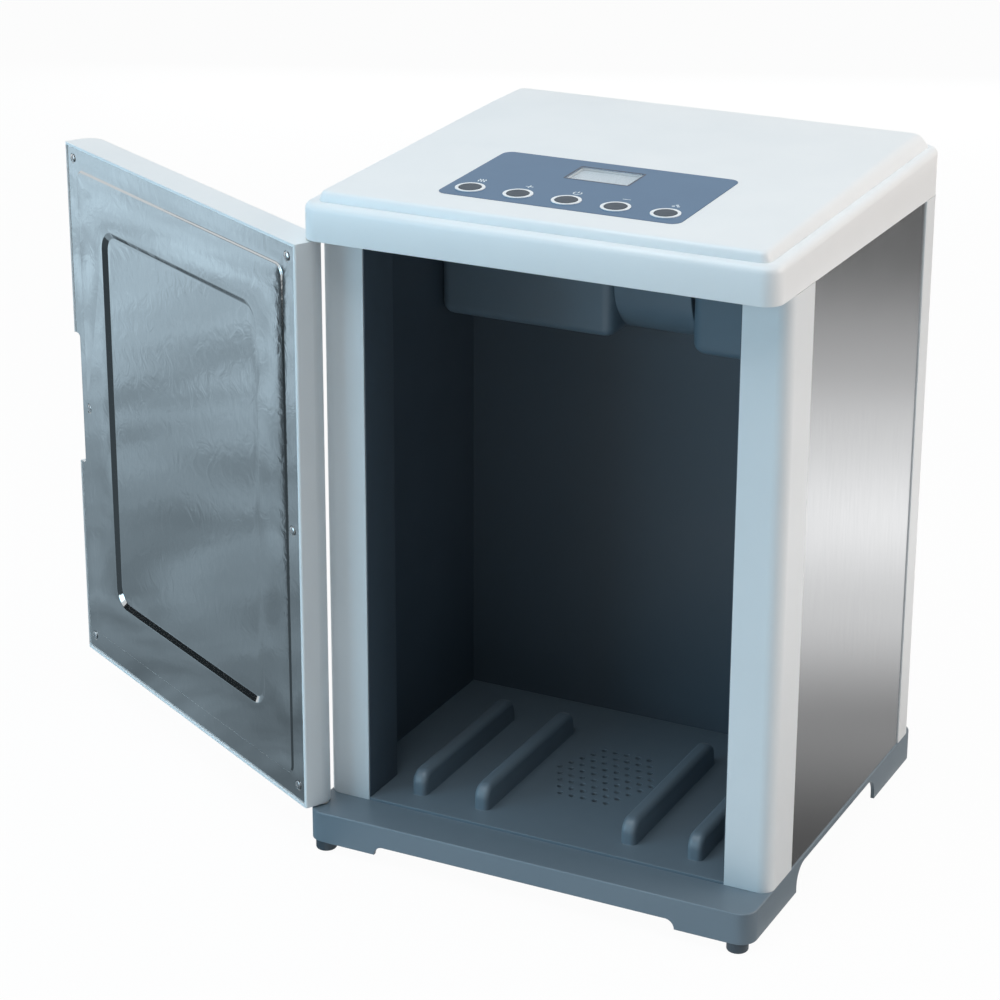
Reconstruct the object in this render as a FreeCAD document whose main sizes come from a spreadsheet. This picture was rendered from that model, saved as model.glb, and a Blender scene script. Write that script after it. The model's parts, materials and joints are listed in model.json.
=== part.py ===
"""Boot dryer cabinet with a side-hung door, as a parametric FreeCAD document.

Millimetres, +Z up. The origin is the centre of the four feet, on the floor. The front faces -Y.
"""
import FreeCAD, Part
import math
import os
import re
import Sketcher
from FreeCAD import Placement, Rotation, Vector

os.makedirs("parts", exist_ok=True)
doc = FreeCAD.newDocument("boot_dryer")
sheet = doc.addObject("Spreadsheet::Sheet", "size")

# Driving dimensions: alias, value, what it measures.
DRIVING = {
    # cabinet
    "cabinetWidth": (328, "width over the lid, the posts and the base"),
    "lidDepth": (303.5, "front to back of the lid"),
    "baseDepth": (316, "front to back of the base tray"),
    "cornerRadius": (12, "vertical corners of the lid, the base and the door"),
    "footHeight": (7.5, "foot below the base skirt"),
    "footRadius": (7.25, "foot"),
    "footRound": (1.5, "rounding of the foot's sole"),
    "footStem": (3.0, "radius of the foot's push-in stem"),
    "footStemLength": (9, "foot's push-in stem"),
    "footBossWall": (1.5, "boss above the foot, beyond the foot's radius"),
    "footSpacingX": (305, "between foot centres, across"),
    "footSpacingY": (300.6, "between foot centres, front to back"),
    "baseHeight": (22.3, "skirt bottom to ledge"),
    "baseTop": (3.4, "thickness of the ledge"),
    "cabinetHeight": (403.7, "ledge to the underside of the lid"),
    "wall": (2.5, "moulded walls"),
    "frontNotchWidth": (222, "cut-out in the front and rear skirt"),
    "frontNotchHeight": (6.5, "cut-out in the front and rear skirt"),
    "sideNotchLength": (152, "cut-out in the side skirt"),
    "sideNotchHeight": (18, "cut-out in the side skirt"),
    "sideNotchRound": (13.5, "upper corners of the side cut-out"),
    # lid
    "rimFront": (24.9, "lid's rim above the lid's underside, at the front"),
    "rimBack": (33.5, "the same at the back"),
    "rimRound": (6, "rounding of the rim's upper edge"),
    "topFront": (31.8, "raised top above the lid's underside, at its front edge"),
    "topKink": (41.3, "the same where the slope ends"),
    "topBack": (41.8, "the same at its back edge"),
    "topInset": (7.6, "raised top's front edge behind the lid's front"),
    "kinkInset": (51, "where the slope ends, ahead of the lid's back"),
    "topBackInset": (6, "raised top's back edge ahead of the lid's back"),
    "topHalfFront": (153.3, "half width of the raised top at its front edge"),
    "topHalfBack": (151.2, "half width of the raised top at its back edge"),
    "topFlareFront": (1.8, "how far its side wall leans out, at the front"),
    "topFlareBack": (6.4, "the same at the back"),
    "topRoot": (8, "raised top's walls, down inside the rim"),
    "rimTopWall": (3, "top of the rim"),
    # posts and panels
    "postWidth": (32, "post across the front"),
    "postDepth": (39, "front post along the side"),
    "rearPostDepth": (27.5, "rear post along the side"),
    "postRound": (9, "outer edge of a post"),
    "sheetMetal": (0.8, "steel panels"),
    "panelFold": (5, "folded edge of a side panel"),
    "panelRecess": (0.8, "side panel behind the post's face"),
    "linerThickness": (1.5, "inner walls"),
    "linerInset": (6.5, "inner side wall from the cabinet's side"),
    "rearWallY": (78, "front of the chamber's rear wall"),
    "coverThickness": (2, "rear cover"),
    "spigotHeight": (12, "spigots that locate the posts"),
    "slip": (0.2, "clearance of parts that slot together"),
    "ledgeRound": (1, "upper edge of the base tray"),
    "over": (1, "how far a cutting tool stands past a face"),
    "far": (20, "the same, where it must clear a whole feature"),
    # floor
    "floorStep": (2, "floor panel above the ledge"),
    "ribWidth": (11, "boot rib"),
    "ribHeight": (17.5, "boot rib above the floor"),
    "ribLength": (140, "boot rib front to back"),
    "ribNose": (9.6, "rounding of the rib's ends, seen from the side"),
    "ribCrest": (4, "rounding along the rib's upper edges"),
    "ribFrontY": (-108.5, "front end of the ribs"),
    "ribInner": (55, "inner ribs from the middle"),
    "ribOuter": (103, "outer ribs from the middle"),
    "grilleHole": (2.0, "radius of a grille hole"),
    "grillePitch": (8.75, "between holes in a row"),
    "grilleRow": (9.2, "between rows"),
    "grilleY": (-23.4, "centre of the grille"),
    "airHoleRadius": (46, "hole in the base tray below the grille"),
    # door
    "doorThickness": (25, "door"),
    "doorGap": (0.6, "door's inner face to the posts"),
    "doorTopGap": (1.0, "door below the lid"),
    "doorBottomGap": (1.5, "door above the ledge"),
    "doorOpenAngle": (208.85, "how far the door stands open"),
    "pivotSide": (5, "hinge line from the door's side"),
    "pivotFront": (8.5, "hinge line from the door's outer face"),
    "pinRadius": (2.0, "hinge pin"),
    "pinClearance": (0.08, "radial, pin in bush"),
    "bushRadius": (3.0, "outside of the hinge bush"),
    "bushLength": (9, "hinge bush"),
    "bushCollar": (1, "collar of the bush beyond its sleeve"),
    "hingeGap": (0.3, "collar of the bush to the cabinet"),
    "pinDepth": (11, "hinge pin into the lid or the base"),
    "pinBossWall": (3, "boss around a hinge pin"),
    "doorBossRadius": (4.5, "screw boss in the door"),
    "doorScrewLow": (13, "lower screws above the door's lower edge"),
    "doorScrewHigh": (10.5, "upper screws below the door's upper edge"),
    "doorScrewLength": (10, "door screw"),
    "frameRound": (8, "outer corners of the raised frame"),
    "fieldRound": (16, "corners of the field inside the raised frame"),
    "notchRound": (3, "corners of the finger notch"),
    "magnetWidth": (10, "door magnet"),
    "magnetDepth": (5, "door magnet"),
    "magnetInset": (20, "door magnet, inside the height of the finger notch"),
    "doorPanelInset": (2, "steel inner panel from the door's edges"),
    "doorFrameInset": (16.5, "raised frame from the panel's edges"),
    "doorFieldInset": (52, "field inside the raised frame, from the panel's edges"),
    "emboss": (1.0, "height of the raised frame"),
    "notchDepth": (8, "finger notch into the free edge"),
    "notchHeight": (102, "finger notch"),
    "notchZ": (185, "bottom of the finger notch above the floor"),
    "doorScrewInset": (11, "screws from the door's side edges"),
    "screwHead": (3.0, "radius of a screw head"),
    "screwShank": (1.4, "radius of a screw shank"),
    "screwHeadHeight": (1.2, "screw head"),
    "screwDimple": (1, "flat around a door screw's head"),
    "doorEdgeRound": (1.5, "door's inner upright edges"),
    # control panel, in the lid's sloped top
    "overlayWidth": (168, "control overlay"),
    "overlayDepth": (102, "control overlay"),
    "overlayCorner": (7, "control overlay"),
    "overlayThickness": (0.8, "control overlay"),
    "overlayInset": (36, "overlay's front edge behind the lid's front"),
    "buttonPitch": (34, "between buttons"),
    "buttonRow": (17.5, "button centres behind the overlay's front edge"),
    "buttonRadius": (7.3, "button cap"),
    "buttonGap": (0.3, "around a button"),
    "buttonTravel": (0.8, "button"),
    "ringWidth": (2.2, "ring around a button"),
    "displayWidth": (44, "display window"),
    "displayDepth": (27, "display window"),
    "displayRow": (75.5, "display's centre behind the overlay's front edge"),
    "overlayProud": (0.2, "overlay above the lid"),
    "buttonProud": (0.9, "button cap above the lid"),
    "capDepth": (2.8, "button cap below the lid's face"),
    "stemRadius": (2.2, "button stem"),
    "collarInset": (1, "button's lower collar inside its cap"),
    "collarHeight": (1, "button's lower collar"),
    "ringHeight": (0.5, "ring around a button"),
    "glassThickness": (2, "display window"),
    "displayMargin": (1, "display module inside its window"),
    "displayCorner": (1, "corners of the display"),
    "boardDrop": (14, "control board below the overlay"),
    "boardWidth": (164, "control board"),
    "boardInset": (2, "control board inside the overlay's depth"),
    "boardPostX": (76, "control board's screws from the middle"),
    "boardPostInset": (8, "control board's screws inside the overlay's depth"),
    "boardPostRadius": (3.5, "stand-offs under circuit boards"),
    "boardScrewLength": (6, "control board's screws into the lid"),
    "switchSide": (6, "push switch"),
    "switchHeight": (3.5, "push switch's case"),
    "plungerHeight": (5, "push switch with its plunger"),
    "plungerRadius": (1.6, "push switch's plunger"),
    "switchGap": (0.3, "pressed button to its switch"),
    "boardThickness": (1.6, "circuit boards"),
    # housing across the top rear of the chamber
    "housingY": (25, "front of the housing"),
    "heaterBoxDrop": (97.8, "heater box below the ceiling"),
    "ionBoxDrop": (99.7, "ion box below the ceiling"),
    "scrollLeft": (-22, "left side of the fan scroll"),
    "scrollRight": (35, "right side of the fan scroll"),
    "scrollRadius": (45, "rounding of the scroll's front"),
    "housingWall": (2, "walls of the housing"),
    "outletPitch": (12, "between warm-air slots in the heater box"),
    "outletWidth": (5, "warm-air slot"),
    "outletStart": (24, "first warm-air slot from the box's left side"),
    "outletCount": (8, "warm-air slots"),
    "ionSlotPitch": (10, "between slots in the ion box"),
    "ionSlotWidth": (4, "slot in the ion box"),
    "ionSlotStart": (60, "first ion slot from the right wall"),
    "ionSlotCount": (4, "slots in the ion box"),
    "slotInsetFront": (10, "slots behind the housing's front"),
    "slotInsetRear": (8, "slots ahead of the rear wall"),
    "ductLow": (14, "duct window below the blower axis"),
    "ductHigh": (18, "duct window above the blower axis"),
    "ductAhead": (14, "duct window ahead of the blower axis"),
    "ductBehind": (16, "duct window behind the blower axis"),
    "throatBehind": (6, "scroll's outlet starts behind the blower axis"),
    "fanY": (52, "blower axis"),
    "fanDrop": (46, "blower axis below the ceiling"),
    "wheelRadius": (20, "blower wheel"),
    "wheelLength": (42, "blower wheel"),
    "inletRadius": (18, "fan's air inlet in the rear wall"),
    "bladeCount": (20, "blades of the blower wheel"),
    "shaftRadius": (1.5, "blower shaft"),
    "shaftClearance": (0.05, "radial, shaft in its bearings"),
    "motorRadius": (14, "fan motor"),
    "motorLength": (26, "fan motor"),
    "bearingWall": (2.5, "bearing sleeve and wheel hub around the shaft"),
    "bearingFlange": (1.2, "bearing flange"),
    "flangeReach": (1.5, "bearing flange beyond its sleeve"),
    "motorEnd": (2, "closed end of the motor's case"),
    "hubLength": (10, "wheel hub"),
    "discThickness": (1.5, "end discs of the blower wheel"),
    "bladeThickness": (0.8, "blade of the blower wheel"),
    "bladeSweep": (2, "outer edge of a blade ahead of its inner edge"),
    "bladeTip": (0.6, "blades inside the wheel's radius"),
    "bladeInner": (0.72, "inner edge of the blades, as a share of the wheel's radius"),
    "strapInset": (6, "motor bracket from the motor's left end"),
    "strapWidth": (14, "motor bracket"),
    "strapDepth": (24, "motor bracket"),
    "heaterLength": (40, "heater frame along the duct"),
    "heaterInset": (20, "heater frame's right end from the scroll"),
    "frameWall": (3, "heater frame"),
    "finMargin": (6, "fins inside the frame's length"),
    "coreMargin": (12, "heater core inside the frame's length"),
    "finPitch": (3, "between heater fins"),
    "finThickness": (0.8, "heater fin"),
    "finCount": (9, "heater fins"),
    "cutoutRadius": (8, "thermal cut-out"),
    "cutoutHeight": (9, "thermal cut-out"),
    "cutoutInset": (22, "thermal cut-out behind the housing's front"),
    "ionModuleWidth": (40, "ion module"),
    "ionModuleDepth": (24, "ion module"),
    "ionModuleInset": (22, "ion module from the right wall"),
    "ionModuleDrop": (30, "ion module's lower side below the blower axis"),
    "ionModuleRise": (10, "ion module's upper side above the blower axis"),
    # rear
    "powerBoardWidth": (120, "power board"),
    "powerBoardHeight": (80, "power board"),
    "powerBoardZ": (70, "power board above the ledge"),
    "powerScrewInset": (6, "power board's screws from its edges"),
    "powerScrewLength": (8, "power board's screws"),
    "standoff": (8, "power board behind the rear wall"),
    "transformerX": (14, "transformer from the power board's left edge"),
    "transformerZ": (16, "transformer from its lower edge"),
    "transformerWidth": (32, "transformer"),
    "transformerHeight": (30, "transformer"),
    "transformerDepth": (26, "transformer"),
    "relayX": (60, "relay from the power board's left edge"),
    "relayZ": (20, "relay from its lower edge"),
    "relayWidth": (19, "relay"),
    "relayHeight": (15, "relay"),
    "relayDepth": (15, "relay"),
    "capacitorX": (96, "capacitor from the power board's left edge"),
    "capacitorZ": (30, "capacitor from its lower edge"),
    "capacitorRadius": (6, "capacitor"),
    "capacitorDepth": (20, "capacitor"),
    "terminalX": (30, "terminal block from the power board's left edge"),
    "terminalZ": (56, "terminal block from its lower edge"),
    "terminalWidth": (60, "terminal block"),
    "terminalHeight": (10, "terminal block"),
    "terminalDepth": (10, "terminal block"),
    "ventWidth": (48, "vent slot in the rear cover"),
    "ventHeight": (3.5, "vent slot"),
    "ventRound": (1.7, "ends of a vent slot"),
    "ventPitch": (9, "between vent slots"),
    "ventCount": (9, "vent slots in a column"),
    "ventColumn": (60, "between the columns of vent slots"),
    "ventDrop": (40, "lowest vent slot below the blower axis"),
    "coverCorner": (4, "corners of the rear cover"),
    "coverScrewInset": (20, "end screws of the rear cover from its ends"),
    "glandFlange": (2.5, "flange of the gland beyond its body"),
    "glandFlangeDepth": (3, "flange of the gland outside the cover"),
    "glandBodyDepth": (8, "body of the gland inside the cover"),
    "glandNut": (3, "nut of the gland beyond its body"),
    "glandNutDepth": (4, "nut of the gland"),
    "glandX": (-118, "cord gland from the middle"),
    "glandZ": (62, "cord gland above the floor"),
    "glandRadius": (6, "cord gland"),
    "glandBore": (3.5, "radius of the cord's way in"),
}

# Places worked out from the driving dimensions.
DERIVED = {
    "side": "cabinetWidth / 2",
    "lidFront": "-lidDepth / 2",
    "lidBack": "lidDepth / 2",
    "skirtZ": "footHeight",
    "ledgeZ": "footHeight + baseHeight",
    "floorZ": "ledgeZ + floorStep",
    "lidZ": "ledgeZ + cabinetHeight",
    "postFront": "lidFront + doorThickness + doorGap",
    "postBack": "postFront + postDepth",
    "postInner": "side - postWidth",
    "coverY": "lidBack - coverThickness",
    "rearPostFront": "coverY - rearPostDepth + coverThickness",
    "linerX": "side - linerInset",
    "rearWallBack": "rearWallY + linerThickness",
    "topFrontY": "lidFront + topInset",
    "kinkY": "lidBack - kinkInset",
    "topBackY": "lidBack - topBackInset",
    "topSlope": "(topKink - topFront) / (kinkY - topFrontY)",
    "rimSlope": "(rimBack - rimFront) / lidDepth",
    "deckZ": "lidZ + wall",
    "pivotX": "-side + pivotSide",
    "pivotY": "lidFront + pivotFront",
    "doorLow": "ledgeZ + doorBottomGap",
    "doorHigh": "lidZ - doorTopGap",
    "doorHinge": "-pivotSide",
    "doorFree": "cabinetWidth - pivotSide",
    "doorOuter": "-pivotFront",
    "doorInner": "doorThickness - pivotFront",
    "fanZ": "lidZ - fanDrop",
    "frontOfSlots": "housingY + slotInsetFront",
    "rearOfSlots": "rearWallY - slotInsetRear",
    "ductFront": "fanY - ductAhead",
    "ductBack": "fanY + ductBehind",
    "throatFront": "fanY + throatBehind",
    "ductBottom": "fanZ - ductLow",
    "ductTop": "fanZ + ductHigh",
    "heaterRight": "scrollLeft - heaterInset",
    "heaterLeft": "heaterRight - heaterLength",
    "motorLeft": "scrollRight + housingWall",
    "motorRight": "motorLeft + motorLength",
    "displayFront": "displayRow - displayDepth / 2",
    "displayRear": "displayRow + displayDepth / 2",
    "buttonHole": "buttonRadius + buttonGap",
    "boardFace": "-boardDrop",
    "boardBack": "-boardDrop - boardThickness",
    "buttonFoot": "boardFace + plungerHeight + buttonTravel + switchGap",
    "panelBack": "doorInner - sheetMetal - emboss",
    "panelFace": "doorInner - emboss",
    "bearingRadius": "shaftRadius + bearingWall",
    "powerBoardY": "rearWallBack + standoff",
    "powerBoardBack": "powerBoardY + boardThickness",
    "powerBoardLow": "ledgeZ + powerBoardZ",
    "powerBoardHigh": "powerBoardLow + powerBoardHeight",
}

for row, (alias, (number, note)) in enumerate(DRIVING.items(), start=1):
    sheet.set(f"A{row}", note)
    sheet.set(f"B{row}", str(number))
    sheet.setAlias(f"B{row}", alias)
doc.recompute()


def ex(text):
    """The same expression in the sheet's own terms."""

    def swap(found):
        word = found.group()
        if word in DERIVED:
            return f"({ex(DERIVED[word])})"
        return f"size.{word}" if word in DRIVING else word

    return re.sub(r"[A-Za-z_]\w*", swap, str(text))


def value(text):
    """The number that an expression gives now."""
    return float(sheet.evalExpression(ex(text)))


# ---- primitives ----

used_names = {}


def unique(name):
    used_names[name] = used_names.get(name, 0) + 1
    return f"{name}_{used_names[name]}"


def block(name, x, y, z):
    """A box between pairs of expressions."""
    box = doc.addObject("Part::Box", unique(name))
    for prop, (low, high) in zip(("Length", "Width", "Height"), (x, y, z)):
        box.setExpression(prop, ex(f"({high}) - ({low})"))
    for axis, (low, high) in zip("xyz", (x, y, z)):
        box.setExpression(f"Placement.Base.{axis}", ex(low))
    return box


TURN_TO = {"x": Rotation(Vector(0, 1, 0), 90), "y": Rotation(Vector(1, 0, 0), -90), "z": Rotation()}


def rod(name, axis, centre, span, radius):
    """A cylinder along an axis: centre gives the other two coordinates, span the two ends."""
    cylinder = doc.addObject("Part::Cylinder", unique(name))
    cylinder.Placement = Placement(Vector(), TURN_TO[axis])
    cylinder.setExpression("Radius", ex(radius))
    cylinder.setExpression("Height", ex(f"({span[1]}) - ({span[0]})"))
    places = dict(zip([a for a in "xyz" if a != axis], centre))
    places[axis] = span[0]
    for letter, place in places.items():
        cylinder.setExpression(f"Placement.Base.{letter}", ex(place))
    return cylinder


def join(name, shapes):
    fused = doc.addObject("Part::MultiFuse", unique(name))
    fused.Shapes = shapes
    return fused


def group(name, shapes):
    """Separate solids kept together as one node."""
    bundle = doc.addObject("Part::Compound", unique(name))
    bundle.Links = shapes
    return bundle


def cut(base, tools):
    """The base less every tool."""
    result = doc.addObject("Part::Cut", unique(base.Name))
    result.Base = base
    result.Tool = tools[0] if len(tools) == 1 else join(base.Name + "_tools", tools)
    return result


def common(first, second):
    result = doc.addObject("Part::Common", unique(first.Name))
    result.Base = first
    result.Tool = second
    return result


# ---- PartDesign bodies ----

PLANES = {"XY": "XY_Plane", "XZ": "XZ_Plane", "YZ": "YZ_Plane"}


def plane_of(body, plane):
    return next(f for f in body.Origin.OriginFeatures if f.Role == PLANES[plane])


def new_body(name):
    return doc.addObject("PartDesign::Body", unique(name))


def new_sketch(body, plane, offset):
    """A sketch on one of the body's own planes, moved along that plane's axis."""
    sketch = body.newObject("Sketcher::SketchObject", body.Name + "_outline")
    sketch.AttachmentSupport = [(plane_of(body, plane), "")]
    sketch.MapMode = "FlatFace"
    sign = "-" if plane == "XZ" else ""
    sketch.setExpression("AttachmentOffset.Base.z", ex(f"{sign}({offset})"))
    return sketch


def bind(sketch, kind, places, text):
    """A sketch dimension that follows an expression."""
    index = sketch.addConstraint(Sketcher.Constraint(kind, *places, value(text)))
    sketch.setExpression(f"Constraints[{index}]", ex(text))


def draw_rounded(sketch, u, v, corner):
    """A rectangle with round corners between two pairs of expressions."""
    u0, u1, v0, v1, r = (value(t) for t in (*u, *v, corner))
    sides = [
        ((u0 + r, v0), (u1 - r, v0)),
        ((u1, v0 + r), (u1, v1 - r)),
        ((u1 - r, v1), (u0 + r, v1)),
        ((u0, v1 - r), (u0, v0 + r)),
    ]
    centres = [(u1 - r, v0 + r), (u1 - r, v1 - r), (u0 + r, v1 - r), (u0 + r, v0 + r)]
    for quarter, (side, centre) in enumerate(zip(sides, centres)):
        sketch.addGeometry(Part.LineSegment(Vector(*side[0], 0), Vector(*side[1], 0)))
        circle = Part.Circle(Vector(*centre, 0), Vector(0, 0, 1), r)
        start = (quarter - 1) * math.pi / 2
        sketch.addGeometry(Part.ArcOfCircle(circle, start, start + math.pi / 2))
    for quarter in range(4):
        line = 2 * quarter
        arc = line + 1
        sketch.addConstraint(Sketcher.Constraint("Tangent", line, 2, arc, 1))
        sketch.addConstraint(Sketcher.Constraint("Tangent", arc, 2, (line + 2) % 8, 1))
        sketch.addConstraint(Sketcher.Constraint("Vertical" if quarter % 2 else "Horizontal", line))
        if quarter:
            sketch.addConstraint(Sketcher.Constraint("Equal", 1, arc))
    bind(sketch, "Radius", (1,), corner)
    bind(sketch, "DistanceY", (0, 1), v[0])
    bind(sketch, "DistanceX", (2, 1), u[1])
    bind(sketch, "DistanceY", (4, 1), v[1])
    bind(sketch, "DistanceX", (6, 1), u[0])


def draw_polygon(sketch, points):
    """Straight lines through points, each a pair of expressions."""
    spots = [Vector(value(u), value(v), 0) for u, v in points]
    count = len(spots)
    for i, spot in enumerate(spots):
        sketch.addGeometry(Part.LineSegment(spot, spots[(i + 1) % count]))
    for i in range(count):
        sketch.addConstraint(Sketcher.Constraint("Coincident", i, 2, (i + 1) % count, 1))
    for i, (u, v) in enumerate(points):
        bind(sketch, "DistanceX", (i, 1), u)
        bind(sketch, "DistanceY", (i, 1), v)


def draw_circles(sketch, centres, radius):
    """Equal circles on centres that are pairs of expressions."""
    for i, (u, v) in enumerate(centres):
        spot = Vector(value(u), value(v), 0)
        sketch.addGeometry(Part.Circle(spot, Vector(0, 0, 1), value(radius)))
        bind(sketch, "DistanceX", (i, 3), u)
        bind(sketch, "DistanceY", (i, 3), v)
        if i:
            sketch.addConstraint(Sketcher.Constraint("Equal", 0, i))
    bind(sketch, "Radius", (0,), radius)


def pad(body, sketch, length):
    """Material along the plane's axis, which is +Y on an XZ plane too."""
    feature = body.newObject("PartDesign::Pad", body.Name + "_pad")
    feature.Profile = sketch
    feature.setExpression("Length", ex(length))
    feature.Reversed = plane_name(sketch) == "XZ"
    return feature


def plane_name(sketch):
    role = sketch.AttachmentSupport[0][0].Role
    return next(short for short, full in PLANES.items() if full == role)


def pocket(body, sketch, length):
    """Takes material along the plane's axis, and tells if nothing was cut."""
    doc.recompute()
    before = body.Shape.Volume
    feature = body.newObject("PartDesign::Pocket", body.Name + "_pocket")
    feature.Profile = sketch
    feature.setExpression("Length", ex(length))
    feature.Reversed = plane_name(sketch) != "XZ"
    doc.recompute()
    if body.Shape.Volume > before - 1e-3:
        raise RuntimeError(f"{body.Name}: a pocket cut nothing")
    return feature


def round_edges(body, radius, wanted):
    """Rounds the body's edges that the test picks."""
    doc.recompute()
    shape = body.Shape
    names = [f"Edge{i}" for i, edge in enumerate(shape.Edges, start=1) if wanted(edge)]
    if not names:
        raise RuntimeError(f"{body.Name}: no edge to round")
    base = body.Tip
    feature = body.newObject("PartDesign::Fillet", body.Name + "_round")
    feature.Base = (base, names)
    feature.setExpression("Radius", ex(radius))
    doc.recompute()
    return feature


def along(edge, axis):
    """True for a straight edge along X, Y or Z."""
    if not isinstance(edge.Curve, Part.Line):
        return False
    return abs(edge.Curve.Direction.dot(axis)) > 0.9999


def near(number, text):
    return abs(number - value(text)) < 0.01


def plate(name, plane, u, v, w, corner):
    """A rounded plate: u and v across its plane, w along its axis."""
    body = new_body(name)
    sketch = new_sketch(body, plane, w[0])
    draw_rounded(sketch, u, v, corner)
    pad(body, sketch, f"({w[1]}) - ({w[0]})")
    return body


def prism(name, plane, points, w):
    """A polygon drawn out along its plane's axis."""
    body = new_body(name)
    sketch = new_sketch(body, plane, w[0])
    draw_polygon(sketch, points)
    pad(body, sketch, f"({w[1]}) - ({w[0]})")
    return body


# ---- nodes ----

nodes = {}


def node(name, shape):
    """Gives a finished sub-part its name."""
    shape.Label = name
    nodes[name] = shape
    return shape


def both_sides(make):
    """Runs a maker for the left and the right side, with the sign of x."""
    for hand, sign in (("left", "-1"), ("right", "1")):
        make(hand, sign)


def mirrored(sign, low, high):
    """A pair of x expressions on the side that the sign gives, low first."""
    return (f"-({high})", f"-({low})") if sign == "-1" else (low, high)


def corners_of(x, y):
    return [(f"{i} * ({x})", f"{j} * ({y})") for i in ("-1", "1") for j in ("-1", "1")]


FOOT_PLACES = dict(
    zip(
        ("foot_front_left", "foot_rear_left", "foot_front_right", "foot_rear_right"),
        corners_of("footSpacingX / 2", "footSpacingY / 2"),
    )
)


def make_feet():
    for name, (x, y) in FOOT_PLACES.items():
        foot = new_body(name)
        sole = new_sketch(foot, "XY", "0")
        draw_circles(sole, [(x, y)], "footRadius")
        pad(foot, sole, "footHeight")
        round_edges(foot, "footRound", lambda edge: near(edge.BoundBox.ZMax, "0"))
        stem = new_sketch(foot, "XY", "footHeight")
        draw_circles(stem, [(x, y)], "footStem")
        pad(foot, stem, "footStemLength")
        node(name, foot)


def post_footprint(sign, front, back, clearance, z, name):
    """A rounded bar that fits inside a post, or with no clearance is the space itself."""
    inner = f"postInner + wall + {clearance}"
    outer = f"side - wall - {clearance}"
    return plate(
        name, "XY", mirrored(sign, inner, outer),
        (f"{front} + wall + {clearance}", f"{back} - wall - {clearance}"), z,
        f"postRound - wall - {clearance}",
    )


POST_ENDS = {"front": ("postFront", "postBack"), "rear": ("rearPostFront", "coverY")}


def spigots(name, z):
    """Four blocks that locate the posts."""
    return [
        post_footprint(sign, front, back, "slip", z, name)
        for sign in ("-1", "1")
        for front, back in POST_ENDS.values()
    ]


def make_base():
    outer = plate(
        "base_outer", "XY", ("-side", "side"), ("-baseDepth / 2", "baseDepth / 2"),
        ("skirtZ", "ledgeZ"), "cornerRadius",
    )
    round_edges(outer, "ledgeRound", lambda edge: near(edge.BoundBox.ZMin, "ledgeZ"))
    hollow = plate(
        "base_hollow", "XY", ("-side + wall", "side - wall"),
        ("-baseDepth / 2 + wall", "baseDepth / 2 - wall"),
        ("skirtZ - over", "ledgeZ - baseTop"), "cornerRadius - wall",
    )
    under_ledge = "ledgeZ - baseTop / 2"
    bosses = [
        rod("base_boss", "z", place, ("skirtZ", under_ledge), "footRadius + footBossWall")
        for place in FOOT_PLACES.values()
    ]
    hinge_boss = rod(
        "base_hinge_boss", "z", ("pivotX", "pivotY"), ("ledgeZ - pinDepth - pinBossWall", under_ledge),
        "pinRadius + pinBossWall",
    )
    inside = [common(piece, outer) for piece in (*bosses, hinge_boss)]
    locating = spigots("base_spigot", (under_ledge, "ledgeZ + spigotHeight"))
    tray = join("base_tray", [cut(outer, [hollow]), *inside, *locating])
    front_gap = plate(
        "front_notch", "XZ", ("-frontNotchWidth / 2", "frontNotchWidth / 2"),
        ("skirtZ - 2 * frontNotchHeight", "skirtZ + frontNotchHeight"),
        ("-baseDepth", "baseDepth"), "frontNotchHeight",
    )
    side_gap = plate(
        "side_notch", "YZ", ("-sideNotchLength / 2", "sideNotchLength / 2"),
        ("skirtZ - sideNotchHeight", "skirtZ + sideNotchHeight"),
        ("-cabinetWidth", "cabinetWidth"), "sideNotchRound",
    )
    stems = [
        rod("foot_seat", "z", place, ("0", "skirtZ + footStemLength"), "footStem")
        for place in FOOT_PLACES.values()
    ]
    pin_ends = ("ledgeZ - pinDepth", "ledgeZ + over")
    pin_hole = rod("base_pin_hole", "z", ("pivotX", "pivotY"), pin_ends, "pinRadius")
    air_hole = rod("base_air_hole", "z", ("0", "grilleY"), ("skirtZ", "ledgeZ + over"), "airHoleRadius")
    node("base_tray", cut(tray, [front_gap, side_gap, *stems, pin_hole, air_hole]))


def rib(name, x):
    """A boot rib: a bar with a rounded front end and a rounded crest."""
    body = prism(
        name, "YZ",
        [
            ("ribFrontY", "floorZ"),
            ("ribFrontY + ribLength", "floorZ"),
            ("ribFrontY + ribLength", "floorZ + ribHeight"),
            ("ribFrontY", "floorZ + ribHeight"),
        ],
        (f"({x}) - ribWidth / 2", f"({x}) + ribWidth / 2"),
    )
    round_edges(
        body, "ribNose",
        lambda edge: along(edge, Vector(1, 0, 0)) and near(edge.BoundBox.ZMin, "floorZ + ribHeight"),
    )
    round_edges(
        body, "ribCrest",
        lambda edge: edge.BoundBox.ZMax > value("floorZ + over") and not along(edge, Vector(1, 0, 0)),
    )
    return body


def grille_places():
    """Rows of holes that make a hexagon, five at the front and back and nine in the middle."""
    places = []
    for row in range(-4, 5):
        count = 9 - abs(row)
        for i in range(count):
            x = f"{i - (count - 1) / 2} * grillePitch"
            places.append((x, f"grilleY + {row} * grilleRow"))
    return places


def make_floor():
    main = block(
        "floor_main", ("-linerX", "linerX"), ("postBack + slip", "rearWallY"), ("ledgeZ", "floorZ")
    )
    mouth = block(
        "floor_mouth", ("-postInner + slip", "postInner - slip"), ("postFront", "postBack + slip + over"),
        ("ledgeZ", "floorZ"),
    )
    ribs = [rib("floor_rib", x) for x in ("-ribOuter", "-ribInner", "ribInner", "ribOuter")]
    holes = new_body("grille_holes")
    sketch = new_sketch(holes, "XY", "ledgeZ - over")
    draw_circles(sketch, grille_places(), "grilleHole")
    pad(holes, sketch, "floorStep + 2 * over")
    node("floor_panel", cut(join("floor_panel", [main, mouth, *ribs]), [holes]))


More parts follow.
